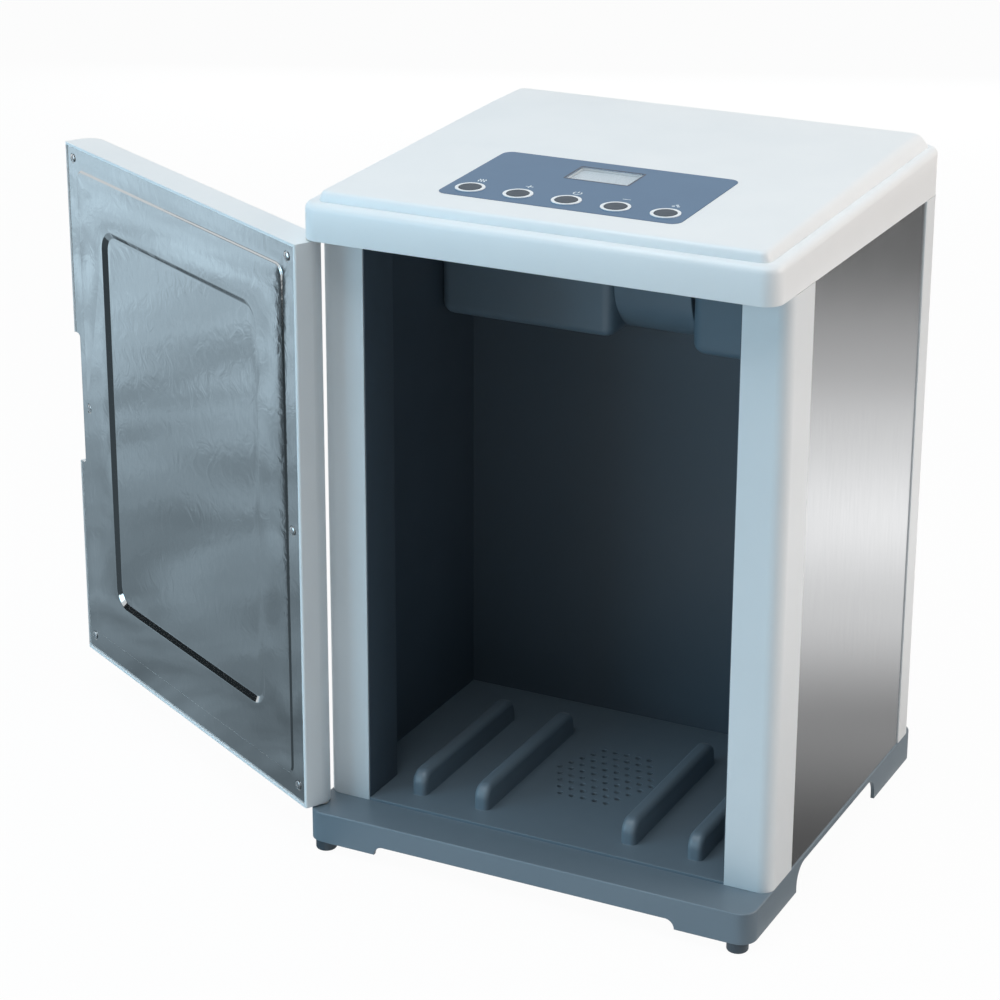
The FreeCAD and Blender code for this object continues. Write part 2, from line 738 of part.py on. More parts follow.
def post(name, sign, front, back, round_y):
    """A closed moulded tube with its outer vertical edge rounded."""
    x = mirrored(sign, "postInner", "side")
    body = prism(
        name, "XY",
        [(x[0], front), (x[1], front), (x[1], back), (x[0], back)],
        ("ledgeZ", "lidZ"),
    )
    outside = value(f"{sign} * side")
    round_edges(
        body, "postRound",
        lambda edge: along(edge, Vector(0, 0, 1))
        and abs(edge.BoundBox.XMin - outside) < 0.01
        and near(edge.BoundBox.YMin, round_y),
    )
    space = post_footprint(sign, front, back, "0", ("ledgeZ - over", "lidZ + over"), name + "_space")
    if round_y == front:
        return cut(body, [space])
    pilots = [
        rod("post_pilot", "y", place, (f"{back} - wall - over", f"{back} + over"), "screwShank")
        for place in cover_screw_places(sign)
    ]
    return cut(body, [space, *pilots])


def make_posts():
    def pair(hand, sign):
        for place, (front, back) in POST_ENDS.items():
            name = f"{hand}_{place}_post"
            node(name, post(name, sign, front, back, front if place == "front" else back))

    both_sides(pair)


def make_side_panels():
    def panel(hand, sign):
        outer = "side - panelRecess"
        inner = "side - panelRecess - sheetMetal"
        fold = "side - panelRecess - panelFold"
        y = ("postBack", "rearPostFront")
        z = ("ledgeZ", "lidZ")
        sheet_face = block("panel_face", mirrored(sign, inner, outer), y, z)
        front_fold = block("panel_fold", mirrored(sign, fold, outer), (y[0], f"{y[0]} + sheetMetal"), z)
        rear_fold = block("panel_fold", mirrored(sign, fold, outer), (f"{y[1]} - sheetMetal", y[1]), z)
        node(f"{hand}_side_panel", join(f"{hand}_side_panel", [sheet_face, front_fold, rear_fold]))

    both_sides(panel)


def make_liners():
    def liner(hand, sign):
        x = mirrored(sign, "linerX - linerThickness", "linerX")
        wall = block(f"{hand}_liner", x, ("postBack", "rearWallY"), ("floorZ", "lidZ"))
        node(f"{hand}_inner_liner", wall)

    both_sides(liner)
    wall = block(
        "rear_liner", ("-linerX", "linerX"), ("rearWallY", "rearWallBack"), ("ledgeZ", "lidZ")
    )
    inlet = rod(
        "fan_inlet", "y", ("(scrollLeft + scrollRight) / 2", "fanZ"),
        ("rearWallY - over", "rearWallBack + over"), "inletRadius",
    )
    node("rear_inner_liner", cut(wall, [inlet]))


def make_deck():
    inset = "wall + slip"
    slab = plate(
        "deck_slab", "XY", (f"-side + ({inset})", f"side - ({inset})"),
        (f"lidFront + ({inset})", f"lidBack - ({inset})"), ("lidZ", "deckZ"), f"cornerRadius - ({inset})",
    )
    locating = spigots("deck_spigot", ("lidZ - spigotHeight", "lidZ + wall / 2"))
    hinge_space = rod(
        "deck_hinge_space", "z", ("pivotX", "pivotY"), ("lidZ - over", "deckZ + over"),
        "pinRadius + pinBossWall + slip",
    )
    node("top_deck", cut(join("top_deck", [slab, *locating]), [hinge_space]))


def lid_side_profile(name, drop):
    """The raised top seen from the side, lowered by a wall's thickness."""
    return prism(
        name, "YZ",
        [
            ("topFrontY - far", "lidZ - over"),
            ("lidBack + far", "lidZ - over"),
            ("lidBack + far", f"lidZ + topBack - ({drop})"),
            ("kinkY", f"lidZ + topKink - ({drop})"),
            ("topFrontY - far", f"lidZ + topFront - far * topSlope - ({drop})"),
        ],
        ("-side", "side"),
    )


def top_outline(inset, z):
    """The raised top cut level at a height: its side walls lean, more so at the back."""
    front, back = f"topFrontY + ({inset})", f"topBackY - ({inset})"
    limit = "side - rimRound / 2"
    front_reach = f"topHalfFront + topFlareFront / (topFront - rimFront) * (lidZ + topFront - ({z}))"
    back_reach = f"topHalfBack + topFlareBack / (topBack - rimBack) * (lidZ + topBack - ({z}))"
    front_half = f"(min({front_reach}; {limit}) - ({inset}))"
    back_half = f"(min({back_reach}; {limit}) - ({inset}))"
    return [(f"-{front_half}", front), (front_half, front), (back_half, back), (f"-{back_half}", back)]


def raised_top(name, inset, drop):
    """The lid's raised top, under a top that is kinked near the back."""
    body = new_body(name)
    outlines = []
    for z in ("lidZ + rimFront - topRoot", "lidZ + topBack + 2 * over"):
        sketch = new_sketch(body, "XY", z)
        draw_polygon(sketch, top_outline(inset, z))
        outlines.append(sketch)
    doc.recompute()
    walls = body.newObject("PartDesign::AdditiveLoft", name + "_walls")
    walls.Profile = outlines[0]
    walls.Sections = outlines[1:]
    walls.Ruled = True
    return common(body, lid_side_profile(name + "_profile", drop))


def rim_solid(name, inset, drop, bottom):
    """The lid's rim: a rounded plate whose top climbs to the back."""
    body = plate(
        name, "XY", (f"-side + ({inset})", f"side - ({inset})"),
        (f"lidFront + ({inset})", f"lidBack - ({inset})"), (bottom, "lidZ + rimBack"),
        f"cornerRadius - ({inset})",
    )
    above = new_sketch(body, "YZ", "-side")
    draw_polygon(
        above,
        [
            ("lidFront - over", f"lidZ + rimFront - ({drop}) - rimSlope * over"),
            ("lidBack + over", f"lidZ + rimBack - ({drop}) + rimSlope * over"),
            ("lidBack + over", "lidZ + rimBack + far"),
            ("lidFront - over", "lidZ + rimBack + far"),
        ],
    )
    pocket(body, above, "cabinetWidth")
    return body


def turned(shape, base, letter, sign, angle):
    """Places a piece at a point and turns it about the axis of that letter and sign."""
    for axis, place in zip("xyz", base):
        shape.setExpression(f"Placement.Base.{axis}", ex(place))
    axis_vector = {"x": Vector(1, 0, 0), "z": Vector(0, 0, 1)}[letter] * sign
    shape.Placement.Rotation = Rotation(axis_vector, value(angle))
    shape.setExpression("Placement.Rotation.Angle", ex(angle))
    shape.setExpression(f"Placement.Rotation.Axis.{letter}", str(sign))
    return shape


def in_panel(shape):
    """Into the control panel's frame: on the sloped top at the overlay's front edge, z along its normal."""
    height = "lidZ + topFront + topSlope * (overlayInset - topInset)"
    return turned(shape, ("0", "lidFront + overlayInset", height), "x", 1, "atan(topSlope)")


def button_places():
    return [(f"{i} * buttonPitch", "buttonRow") for i in range(-2, 3)]


def board_posts():
    return [
        (x, y)
        for x in ("-boardPostX", "boardPostX")
        for y in ("boardPostInset", "overlayDepth - boardPostInset")
    ]


def panel_holes(z):
    """The holes for the buttons and the display, through whatever lies between two heights."""
    holes = [rod("button_hole", "z", place, z, "buttonHole") for place in button_places()]
    across = ("-displayWidth / 2", "displayWidth / 2")
    display = block("display_hole", across, ("displayFront", "displayRear"), z)
    return [*holes, display]


def make_lid():
    rim = rim_solid("lid_rim", "0", "0", "lidZ")
    round_edges(rim, "rimRound", lambda edge: edge.BoundBox.ZMin > value("lidZ + rimFront - over"))
    shell = join("lid_outer", [rim, raised_top("lid_top", "0", "0")])
    hollow_rim = rim_solid("lid_rim_hollow", "wall", "rimTopWall", "lidZ - over")
    hollow_top = raised_top("lid_top_hollow", "wall", "wall + overlayThickness")
    hinge_boss = common(
        rod(
            "lid_hinge_boss", "z", ("pivotX", "pivotY"), ("lidZ", "lidZ + pinDepth + pinBossWall"),
            "pinRadius + pinBossWall",
        ),
        rim,
    )
    bosses = [
        rod("board_boss", "z", place, ("boardFace", "-overlayThickness - over / 2"), "boardPostRadius")
        for place in board_posts()
    ]
    board_bosses = in_panel(join("board_bosses", bosses))
    seat = plate(
        "overlay_seat", "XY", ("-overlayWidth / 2 - slip", "overlayWidth / 2 + slip"),
        ("-slip", "overlayDepth + slip"), ("-overlayThickness", "far"), "overlayCorner + slip",
    )
    pilots = [
        rod("board_pilot", "z", place, ("boardFace", "boardFace + boardScrewLength + over"), "screwShank")
        for place in board_posts()
    ]
    through = in_panel(join("lid_openings", [*panel_holes(("boardFace", "over")), seat, *pilots]))
    pin_hole = rod("lid_pin_hole", "z", ("pivotX", "pivotY"), ("lidZ - over", "lidZ + pinDepth"), "pinRadius")
    shell = cut(shell, [hollow_rim, hollow_top])
    node("lid", cut(join("lid", [shell, hinge_boss, board_bosses]), [through, pin_hole]))


BUTTONS = ("button_drying", "button_time_up", "button_power", "button_time_down", "button_ion")


def make_controls():
    film = plate(
        "control_overlay", "XY", ("-overlayWidth / 2", "overlayWidth / 2"), ("0", "overlayDepth"),
        ("-overlayThickness", "overlayProud"), "overlayCorner",
    )
    holes = panel_holes(("-overlayThickness - over", "overlayProud + over"))
    node("control_overlay", in_panel(cut(film, holes)))
    rings = []
    for place in button_places():
        ring_ends = ("overlayProud", "overlayProud + ringHeight")
        ring = rod("ring", "z", place, ring_ends, "buttonHole + ringWidth")
        rings.append(cut(ring, [rod("ring_hole", "z", place, ("0", "over"), "buttonHole")]))
    node("button_rings", in_panel(group("button_rings", rings)))
    window = plate(
        "display_window", "XY", ("-displayWidth / 2 + slip", "displayWidth / 2 - slip"),
        ("displayFront + slip", "displayRear - slip"), ("-glassThickness", "overlayProud / 2"),
        "displayCorner",
    )
    node("display_window", in_panel(window))
    module = plate(
        "display_module", "XY", ("-displayWidth / 2 + displayMargin", "displayWidth / 2 - displayMargin"),
        ("displayFront + displayMargin", "displayRear - displayMargin"),
        ("boardFace", "-glassThickness"), "displayCorner",
    )
    node("display_module", in_panel(module))
    board = block(
        "control_board", ("-boardWidth / 2", "boardWidth / 2"), ("boardInset", "overlayDepth - boardInset"),
        ("boardBack", "boardFace"),
    )
    clearances = [
        rod("board_screw_hole", "z", place, ("boardBack - over", "boardFace + over"), "screwShank + slip")
        for place in board_posts()
    ]
    node("control_board", in_panel(cut(board, clearances)))
    screws = [
        screw("board_screw", "z", place, "boardBack", "1", "boardThickness + boardScrewLength")
        for place in board_posts()
    ]
    node("control_board_screws", in_panel(group("control_board_screws", screws)))
    switches = []
    for x, y in button_places():
        case = block(
            "switch_case", (f"{x} - switchSide / 2", f"{x} + switchSide / 2"),
            (f"{y} - switchSide / 2", f"{y} + switchSide / 2"), ("boardFace", "boardFace + switchHeight"),
        )
        plunger_ends = ("boardFace + switchHeight - over / 2", "boardFace + plungerHeight")
        plunger = rod("switch_plunger", "z", (x, y), plunger_ends, "plungerRadius")
        switches.append(join("switch", [case, plunger]))
    node("button_switches", in_panel(group("button_switches", switches)))
    for name, place in zip(BUTTONS, button_places()):
        cap = rod("cap", "z", place, ("-capDepth", "buttonProud"), "buttonRadius")
        collar_ends = ("buttonFoot + over / 2", "buttonFoot + over / 2 + collarHeight")
        collar = rod("cap_collar", "z", place, collar_ends, "buttonRadius - collarInset")
        stem = rod("cap_stem", "z", place, ("buttonFoot", "-capDepth + over / 2"), "stemRadius")
        node(name, in_panel(join(name, [cap, collar, stem])))


def box_space(name, x, drop):
    """The inside of a housing box, open to the rear wall and the ceiling."""
    return block(
        name, (f"{x[0]} + housingWall", f"{x[1]} - housingWall"),
        ("housingY + housingWall", "rearWallY + over"), (f"lidZ - {drop} + housingWall", "lidZ + over"),
    )


def bottom_slots(name, drop, start, pitch, width, count):
    """A row of slots through the bottom of a housing box."""
    slots = []
    for i in range(int(value(count))):
        low = f"{start} + {i} * {pitch}"
        slots.append(
            block(
                name, (low, f"{low} + {width}"), ("frontOfSlots", "rearOfSlots"),
                (f"lidZ - {drop} - over", f"lidZ - {drop} + housingWall + over"),
            )
        )
    return slots


def scroll_body(name, x, inset, reach, radius):
    """The fan scroll's outside or its space: upright at the back, rounded below at the front."""
    front = f"housingY + {inset}"
    bottom = f"lidZ - heaterBoxDrop + {inset}"
    back = f"rearWallY + {reach}"
    top = f"lidZ + {reach}"
    body = prism(name, "YZ", [(front, top), (front, bottom), (back, bottom), (back, top)], x)

    def lower_front(edge):
        box = edge.BoundBox
        return along(edge, Vector(1, 0, 0)) and near(box.YMax, front) and near(box.ZMax, bottom)

    round_edges(body, radius, lower_front)
    return body


def make_housing():
    left = "-linerX + linerThickness"
    right = "linerX - linerThickness"
    depth = ("housingY", "rearWallY")
    axis = ("fanY", "fanZ")
    duct = ("ductBottom", "ductTop")
    heater_x = (left, "scrollLeft")
    outer = block("heater_housing", heater_x, depth, ("lidZ - heaterBoxDrop", "lidZ"))
    outlets = bottom_slots(
        "warm_air_slot", "heaterBoxDrop", f"{left} + outletStart", "outletPitch", "outletWidth", "outletCount"
    )
    inlet_x = ("scrollLeft - housingWall - over", "scrollLeft + over")
    inlet = block("duct_window", inlet_x, ("ductFront", "ductBack"), duct)
    space = box_space("heater_space", heater_x, "heaterBoxDrop")
    node("heater_housing", cut(outer, [space, *outlets, inlet]))

    scroll = scroll_body("scroll_outer", ("scrollLeft", "scrollRight"), "0", "0", "scrollRadius")
    hollow = scroll_body(
        "scroll_hollow", ("scrollLeft + housingWall", "scrollRight - housingWall"), "housingWall", "over",
        "scrollRadius - housingWall",
    )
    left_wall = ("scrollLeft - over", "scrollLeft + housingWall + over")
    right_wall = ("scrollRight - housingWall - over", "scrollRight + over")
    outlet = block("scroll_window", left_wall, ("throatFront", "ductBack"), duct)
    bearing_hole = rod("bearing_hole", "x", axis, left_wall, "bearingRadius")
    motor_hole = rod("motor_hole", "x", axis, right_wall, "bearingRadius")
    node("fan_scroll", cut(scroll, [hollow, outlet, bearing_hole, motor_hole]))

    ion_x = ("scrollRight", right)
    outer = block("ion_housing", ion_x, depth, ("lidZ - ionBoxDrop", "lidZ"))
    shaft_way = rod("shaft_way", "x", axis, ("scrollRight - over", "motorLeft + over"), "bearingRadius")
    slots = bottom_slots(
        "ion_slot", "ionBoxDrop", "linerX - ionSlotStart", "ionSlotPitch", "ionSlotWidth", "ionSlotCount"
    )
    space = box_space("ion_space", ion_x, "ionBoxDrop")
    node("ion_housing", cut(outer, [space, shaft_way, *slots]))


def wheel_circle(wheel, x, radius):
    """A circle about the wheel's own axis."""
    sketch = new_sketch(wheel, "YZ", x)
    draw_circles(sketch, [("0", "0")], radius)
    return sketch


def make_wheel():
    """A drum of blades between a closed disc on the left and an open ring on the right."""
    wheel = new_body("blower_wheel")
    pad(wheel, wheel_circle(wheel, "0", "wheelRadius"), "discThickness")
    pad(wheel, wheel_circle(wheel, "0", "bearingRadius"), "hubLength")
    half = "bladeThickness / 2"
    root, tip = "wheelRadius * bladeInner", "wheelRadius - bladeTip"
    blade_sketch = new_sketch(wheel, "YZ", "0")
    draw_polygon(
        blade_sketch,
        [(f"-{half}", root), (half, root), (f"bladeSweep + {half}", tip), (f"bladeSweep - {half}", tip)],
    )
    blade = pad(wheel, blade_sketch, "wheelLength")
    doc.recompute()
    blades = wheel.newObject("PartDesign::PolarPattern", "blades")
    blades.Originals = [blade]
    blades.Axis = (next(f for f in wheel.Origin.OriginFeatures if f.Role == "X_Axis"), [""])
    blades.Angle = 360
    blades.setExpression("Occurrences", ex("bladeCount"))
    wheel.Tip = blades
    doc.recompute()
    pad(wheel, wheel_circle(wheel, "wheelLength - discThickness", "wheelRadius"), "discThickness")
    mouth = wheel_circle(wheel, "wheelLength - 2 * discThickness", f"{root} + {half}")
    pocket(wheel, mouth, "2 * discThickness + over")
    pocket(wheel, wheel_circle(wheel, "-over", "shaftRadius"), "hubLength + 2 * over")
    for letter, place in zip("xyz", ("(scrollLeft + scrollRight - wheelLength) / 2", "fanY", "fanZ")):
        wheel.setExpression(f"Placement.Base.{letter}", ex(place))
    node("blower_wheel", wheel)


def make_blower():
    make_wheel()
    axis = ("fanY", "fanZ")
    running = "shaftRadius + shaftClearance"
    shaft_ends = ("scrollLeft - over", "motorRight - motorEnd - over")
    node("blower_shaft", rod("blower_shaft", "x", axis, shaft_ends, "shaftRadius"))
    flange_ends = ("scrollLeft - bearingFlange", "scrollLeft")
    flange = rod("bearing_flange", "x", axis, flange_ends, "bearingRadius + flangeReach")
    sleeve = rod("bearing_sleeve", "x", axis, ("scrollLeft", "scrollLeft + 2 * housingWall"), "bearingRadius")
    bore_ends = ("scrollLeft - bearingFlange - over", "scrollLeft + 2 * housingWall + over")
    bore = rod("bearing_bore", "x", axis, bore_ends, running)
    node("fan_bearing", cut(join("fan_bearing", [flange, sleeve]), [bore]))
    case = rod("motor_case", "x", axis, ("motorLeft", "motorRight"), "motorRadius")
    nose = rod("motor_nose", "x", axis, ("scrollRight - housingWall - over", "motorLeft"), "bearingRadius")
    bore_ends = ("scrollRight - housingWall - 2 * over", "motorRight - motorEnd")
    bore = rod("motor_bore", "x", axis, bore_ends, running)
    node("fan_motor", cut(join("fan_motor", [case, nose]), [bore]))
    strap = block(
        "motor_strap", ("motorLeft + strapInset", "motorLeft + strapInset + strapWidth"),
        ("fanY - strapDepth / 2", "fanY + strapDepth / 2"), ("fanZ", "lidZ"),
    )
    saddle = rod("motor_saddle", "x", axis, ("motorLeft", "motorRight"), "motorRadius + slip")
    node("motor_bracket", cut(strap, [saddle]))


def make_heater():
    """A finned heating block in its frame, hung in the heater box."""
    front, back = "housingY + housingWall", "rearWallY"
    inner = (f"{front} + frameWall", f"{back} - frameWall")
    inner_z = ("ductBottom + frameWall", "ductTop - frameWall")
    frame = block("heater_frame", ("heaterLeft", "heaterRight"), (front, back), ("ductBottom", "ductTop"))
    bay = block("heater_bay", ("heaterLeft - over", "heaterRight + over"), inner, inner_z)
    node("heater_frame", cut(frame, [bay]))
    fins = []
    for i in range(int(value("finCount"))):
        low = f"{inner_z[0]} + over + {i} * finPitch"
        fin_x = ("heaterLeft + finMargin", "heaterRight - finMargin")
        fins.append(block("heater_fin", fin_x, inner, (low, f"{low} + finThickness")))
    core = block("heater_core", ("heaterLeft + coreMargin", "heaterRight - coreMargin"), inner, inner_z)
    node("heater_element", join("heater_element", [core, *fins]))
    centre = ("(heaterLeft + heaterRight) / 2", "housingY + cutoutInset")
    cutout = rod("thermal_cutout", "z", centre, ("ductTop", "ductTop + cutoutHeight"), "cutoutRadius")
    node("thermal_cutout", cutout)


def board_component(name):
    """A component on the power board, whose place and size are in the sheet under its own name."""
    x = f"-powerBoardWidth / 2 + {name}X"
    z = f"powerBoardLow + {name}Z"
    out = ("powerBoardBack", f"powerBoardBack + {name}Depth")
    return block(name, (x, f"{x} + {name}Width"), out, (z, f"{z} + {name}Height"))


def make_electronics():
    ion_x = ("linerX - ionModuleInset - ionModuleWidth", "linerX - ionModuleInset")
    ion_z = ("fanZ - ionModuleDrop", "fanZ + ionModuleRise")
    node("ion_module", block("ion_module", ion_x, ("rearWallY - ionModuleDepth", "rearWallY"), ion_z))
    board = block(
        "power_board", ("-powerBoardWidth / 2", "powerBoardWidth / 2"), ("powerBoardY", "powerBoardBack"),
        ("powerBoardLow", "powerBoardHigh"),
    )
    places = [
        (f"{sign} * (powerBoardWidth / 2 - powerScrewInset)", z)
        for sign in ("-1", "1")
        for z in ("powerBoardLow + powerScrewInset", "powerBoardHigh - powerScrewInset")
    ]
    holes = [
        rod("power_hole", "y", place, ("powerBoardY - over", "powerBoardBack + over"), "screwShank")
        for place in places
    ]
    node("power_board", cut(board, holes))
    capacitor_ends = ("powerBoardBack", "powerBoardBack + capacitorDepth")
    capacitor_place = ("-powerBoardWidth / 2 + capacitorX", "powerBoardLow + capacitorZ")
    parts = [
        board_component("transformer"),
        board_component("relay"),
        rod("capacitor", "y", capacitor_place, capacitor_ends, "capacitorRadius"),
        board_component("terminal"),
    ]
    node("board_components", group("board_components", parts))
    posts = []
    for place in places:
        standoff = rod("board_standoff", "y", place, ("rearWallBack", "powerBoardY"), "boardPostRadius")
        bore = rod("standoff_bore", "y", place, ("rearWallBack - over", "powerBoardY + over"), "screwShank")
        posts.append(cut(standoff, [bore]))
    node("board_standoffs", group("board_standoffs", posts))
    screws = [
        screw("power_screw", "y", place, "powerBoardBack", "-1", "powerScrewLength") for place in places
    ]
    node("power_board_screws", group("power_board_screws", screws))


def screw(name, axis, centre, seat, way, length):
    """A pan-head screw: way is the sign of the direction that its shank points."""
    if way == "-1":
        head_ends, shank_ends = (seat, f"{seat} + screwHeadHeight"), (f"{seat} - ({length})", seat)
    else:
        head_ends, shank_ends = (f"{seat} - screwHeadHeight", seat), (seat, f"{seat} + {length}")
    head = rod(name + "_head", axis, centre, head_ends, "screwHead")
    shank = rod(name + "_shank", axis, centre, shank_ends, "screwShank")
    return join(name, [head, shank])


def cover_screw_places(*signs):
    """Three screws up each rear post."""
    heights = ("ledgeZ + coverScrewInset", "ledgeZ + cabinetHeight / 2", "lidZ - coverScrewInset")
    return [(f"{sign} * (side - postWidth / 2)", z) for sign in signs or ("-1", "1") for z in heights]


def make_rear():
    half = "side - postRound"
    cover = plate(
        "rear_cover", "XZ", (f"-({half})", half), ("ledgeZ", "lidZ"), ("coverY", "lidBack"), "coverCorner"
    )
    through = ("coverY - over", "lidBack + over")
    slots = []
    for column in ("-1", "0", "1"):
        x = (f"{column} * ventColumn - ventWidth / 2", f"{column} * ventColumn + ventWidth / 2")
        for i in range(int(value("ventCount"))):
            z = f"fanZ - ventDrop + {i} * ventPitch"
            slots.append(plate("vent_slot", "XZ", x, (z, f"{z} + ventHeight"), through, "ventRound"))
    centre = ("glandX", "glandZ")
    gland_hole = rod("gland_hole", "y", centre, through, "glandRadius")
    holes = [rod("cover_hole", "y", place, through, "screwShank") for place in cover_screw_places()]
    node("rear_cover", cut(cover, [*slots, gland_hole, *holes]))
    screws = [
        screw("cover_screw", "y", place, "lidBack", "-1", "coverThickness + wall")
        for place in cover_screw_places()
    ]
    node("rear_cover_screws", group("rear_cover_screws", screws))
    inner_end = "coverY - glandBodyDepth"
    outer_end = "lidBack + glandFlangeDepth"
    body = rod("gland_body", "y", centre, (inner_end, "lidBack"), "glandRadius")
    flange = rod("gland_flange", "y", centre, ("lidBack", outer_end), "glandRadius + glandFlange")
    nut = rod("gland_nut", "y", centre, ("coverY - glandNutDepth", "coverY"), "glandRadius + glandNut")
    bore = rod("gland_bore", "y", centre, (f"{inner_end} - over", f"{outer_end} + over"), "glandBore")
    node("cord_gland", cut(join("cord_gland", [body, flange, nut]), [bore]))


# ---- door, in a frame on the hinge line: x along the closed door, y inwards ----


def on_hinge(shape):
    return turned(shape, ("pivotX", "pivotY", "0"), "z", -1, "doorOpenAngle")


def finger_notch(name):
    return plate(
        name, "XZ", ("doorFree - notchDepth", "doorFree + far"), ("notchZ", "notchZ + notchHeight"),
        ("doorOuter - over", "doorInner + over"), "notchRound",
    )


def door_screw_places():
    """Six screws: four at the corners, two half way up, one of them clear of the finger notch."""
    left = "doorHinge + doorScrewInset"
    right = "doorFree - doorScrewInset"
    middle = "(doorLow + doorHigh) / 2"
    ends = [(x, z) for x in (left, right) for z in ("doorLow + doorScrewLow", "doorHigh - doorScrewHigh")]
    return ends + [(left, middle), (f"{right} - notchDepth - over", middle)]


def make_door():
    outer = plate(
        "door_outer", "XY", ("doorHinge", "doorFree"), ("doorOuter", "doorInner + cornerRadius"),
        ("doorLow", "doorHigh"), "cornerRadius",
    )
    trim = new_sketch(outer, "XZ", "doorInner")
    left, right = "doorHinge - over", "doorFree + over"
    low, high = "doorLow - over", "doorHigh + over"
    draw_polygon(trim, [(left, low), (right, low), (right, high), (left, high)])
    pocket(outer, trim, "cornerRadius + over")
    round_edges(
        outer, "doorEdgeRound",
        lambda edge: along(edge, Vector(0, 0, 1)) and near(edge.BoundBox.YMin, "doorInner"),
    )
    space = plate(
        "door_space", "XY", ("doorHinge + wall", "doorFree - wall"),
        ("doorOuter + wall", "doorInner + cornerRadius"), ("doorLow + wall", "doorHigh - wall"),
        "cornerRadius - wall",
    )
    seat = block(
        "panel_seat", ("doorHinge + doorPanelInset", "doorFree - doorPanelInset / 2"),
        ("panelBack", "doorInner + over"), ("doorLow + doorPanelInset", "doorHigh - doorPanelInset"),
    )
    notch_wall = plate(
        "notch_wall", "XZ", ("doorFree - notchDepth - wall", "doorFree"),
        ("notchZ - wall", "notchZ + notchHeight + wall"), ("doorOuter", "panelBack"), "notchRound",
    )
    bosses = [
        rod("door_boss", "y", place, ("doorOuter + over", "panelBack"), "doorBossRadius")
        for place in door_screw_places()
    ]
    hinge_blocks = [
        block("hinge_block", ("doorHinge", "bushRadius + pinBossWall"), ("doorOuter", "panelBack"), z)
        for z in (("doorLow", "doorLow + bushLength + wall"), ("doorHigh - bushLength - wall", "doorHigh"))
    ]
    inside = [common(piece, outer) for piece in (notch_wall, *bosses, *hinge_blocks)]
    shell = join("door_shell", [cut(outer, [space, seat]), *inside])
    pilots = [
        rod("door_pilot", "y", place, ("panelFace - doorScrewLength - over", "doorInner"), "screwShank")
        for place in door_screw_places()
    ]
    bush_seats = [
        rod("bush_seat", "z", ("0", "0"), z, "bushRadius")
        for z in (("doorLow - over", "doorLow + bushLength"), ("doorHigh - bushLength", "doorHigh + over"))
    ]
    node("door_shell", on_hinge(cut(shell, [finger_notch("shell_notch"), *pilots, *bush_seats])))
    make_door_panel()
    screws = [
        screw("door_screw", "y", place, "panelFace", "-1", "doorScrewLength") for place in door_screw_places()
    ]
    node("door_panel_screws", on_hinge(group("door_panel_screws", screws)))


def make_door_panel():
    """The steel inner panel: a sheet with a raised frame pressed round a level field."""
    x = ("doorHinge + doorPanelInset + slip", "doorFree - doorPanelInset / 2 - slip")
    z = ("doorLow + doorPanelInset + slip", "doorHigh - doorPanelInset - slip")

    def raised(name, inset, corner, y):
        across = (f"{x[0]} + {inset}", f"{x[1]} - ({inset})")
        upright = (f"{z[0]} + {inset}", f"{z[1]} - ({inset})")
        return plate(name, "XZ", across, upright, y, corner)

    blank = block("panel_sheet", x, ("panelBack", "panelFace"), z)
    frame = raised("panel_frame", "doorFrameInset", "frameRound", ("panelFace", "doorInner"))
    field = raised("panel_field", "doorFieldInset", "fieldRound", ("panelFace", "doorInner + over"))
    places = door_screw_places()
    holes = [
        rod("panel_hole", "y", place, ("panelBack - over", "panelFace"), "screwShank") for place in places
    ]
    dimples = [
        rod("screw_dimple", "y", place, ("panelFace", "doorInner + over"), "screwHead + screwDimple")
        for place in places
    ]
    whole = join("door_inner_panel", [blank, cut(frame, [field])])
    node("door_inner_panel", on_hinge(cut(whole, [finger_notch("panel_notch"), *holes, *dimples])))


def make_hinges():
    for name, sleeve_ends, collar_ends in (
        ("door_bush_top", ("doorHigh - bushLength", "doorHigh"), ("doorHigh", "lidZ - hingeGap")),
        ("door_bush_bottom", ("doorLow", "doorLow + bushLength"), ("ledgeZ + hingeGap", "doorLow")),
    ):
        sleeve = rod("bush_sleeve", "z", ("0", "0"), sleeve_ends, "bushRadius")
        collar = rod("bush_collar", "z", ("0", "0"), collar_ends, "bushRadius + bushCollar")
        bore = rod("bush_bore", "z", ("0", "0"), ("ledgeZ - over", "lidZ + over"), "pinRadius + pinClearance")
        node(name, on_hinge(cut(join(name, [sleeve, collar]), [bore])))
    centre = ("pivotX", "pivotY")
    for name, ends in (
        ("hinge_pin_top", ("doorHigh - bushLength + over", "lidZ + pinDepth")),
        ("hinge_pin_bottom", ("ledgeZ - pinDepth", "doorLow + bushLength - over")),
    ):
        node(name, rod(name, "z", centre, ends, "pinRadius"))
    middle = "side - postWidth / 2"
    magnet = block(
        "door_magnet", (f"{middle} - magnetWidth / 2", f"{middle} + magnetWidth / 2"),
        ("postFront + wall", "postFront + wall + magnetDepth"),
        ("notchZ + magnetInset", "notchZ + notchHeight - magnetInset"),
    )
    node("door_magnet", magnet)


for make in (
    make_feet, make_base, make_floor, make_posts, make_side_panels, make_liners, make_deck, make_lid,
    make_controls, make_housing, make_blower, make_heater, make_electronics, make_rear, make_door,
    make_hinges,
):
    make()
doc.recompute()

# ---- check every object, then write the nodes ----

failed = [thing.Name for thing in doc.Objects if {"Invalid", "Error"} & set(thing.State)]
if failed:
    raise RuntimeError(f"failed objects: {failed}")
for name, thing in nodes.items():
    if thing.Shape.isNull() or not thing.Shape.isValid():
        raise RuntimeError(f"{name} has no valid shape")
    if thing.Shape.Volume <= 0:
        raise RuntimeError(f"{name} has no volume")
for name, thing in nodes.items():
    thing.Shape.exportStep(f"parts/{name}.step")
    solids = len(thing.Shape.Solids)
    print(f"{name}: {solids} solid(s), {thing.Shape.Volume:.0f} mm3")
print(len(nodes), "nodes")
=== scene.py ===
import json
import math
import bpy
import bmesh
import numpy as np
from mathutils import Matrix, Vector

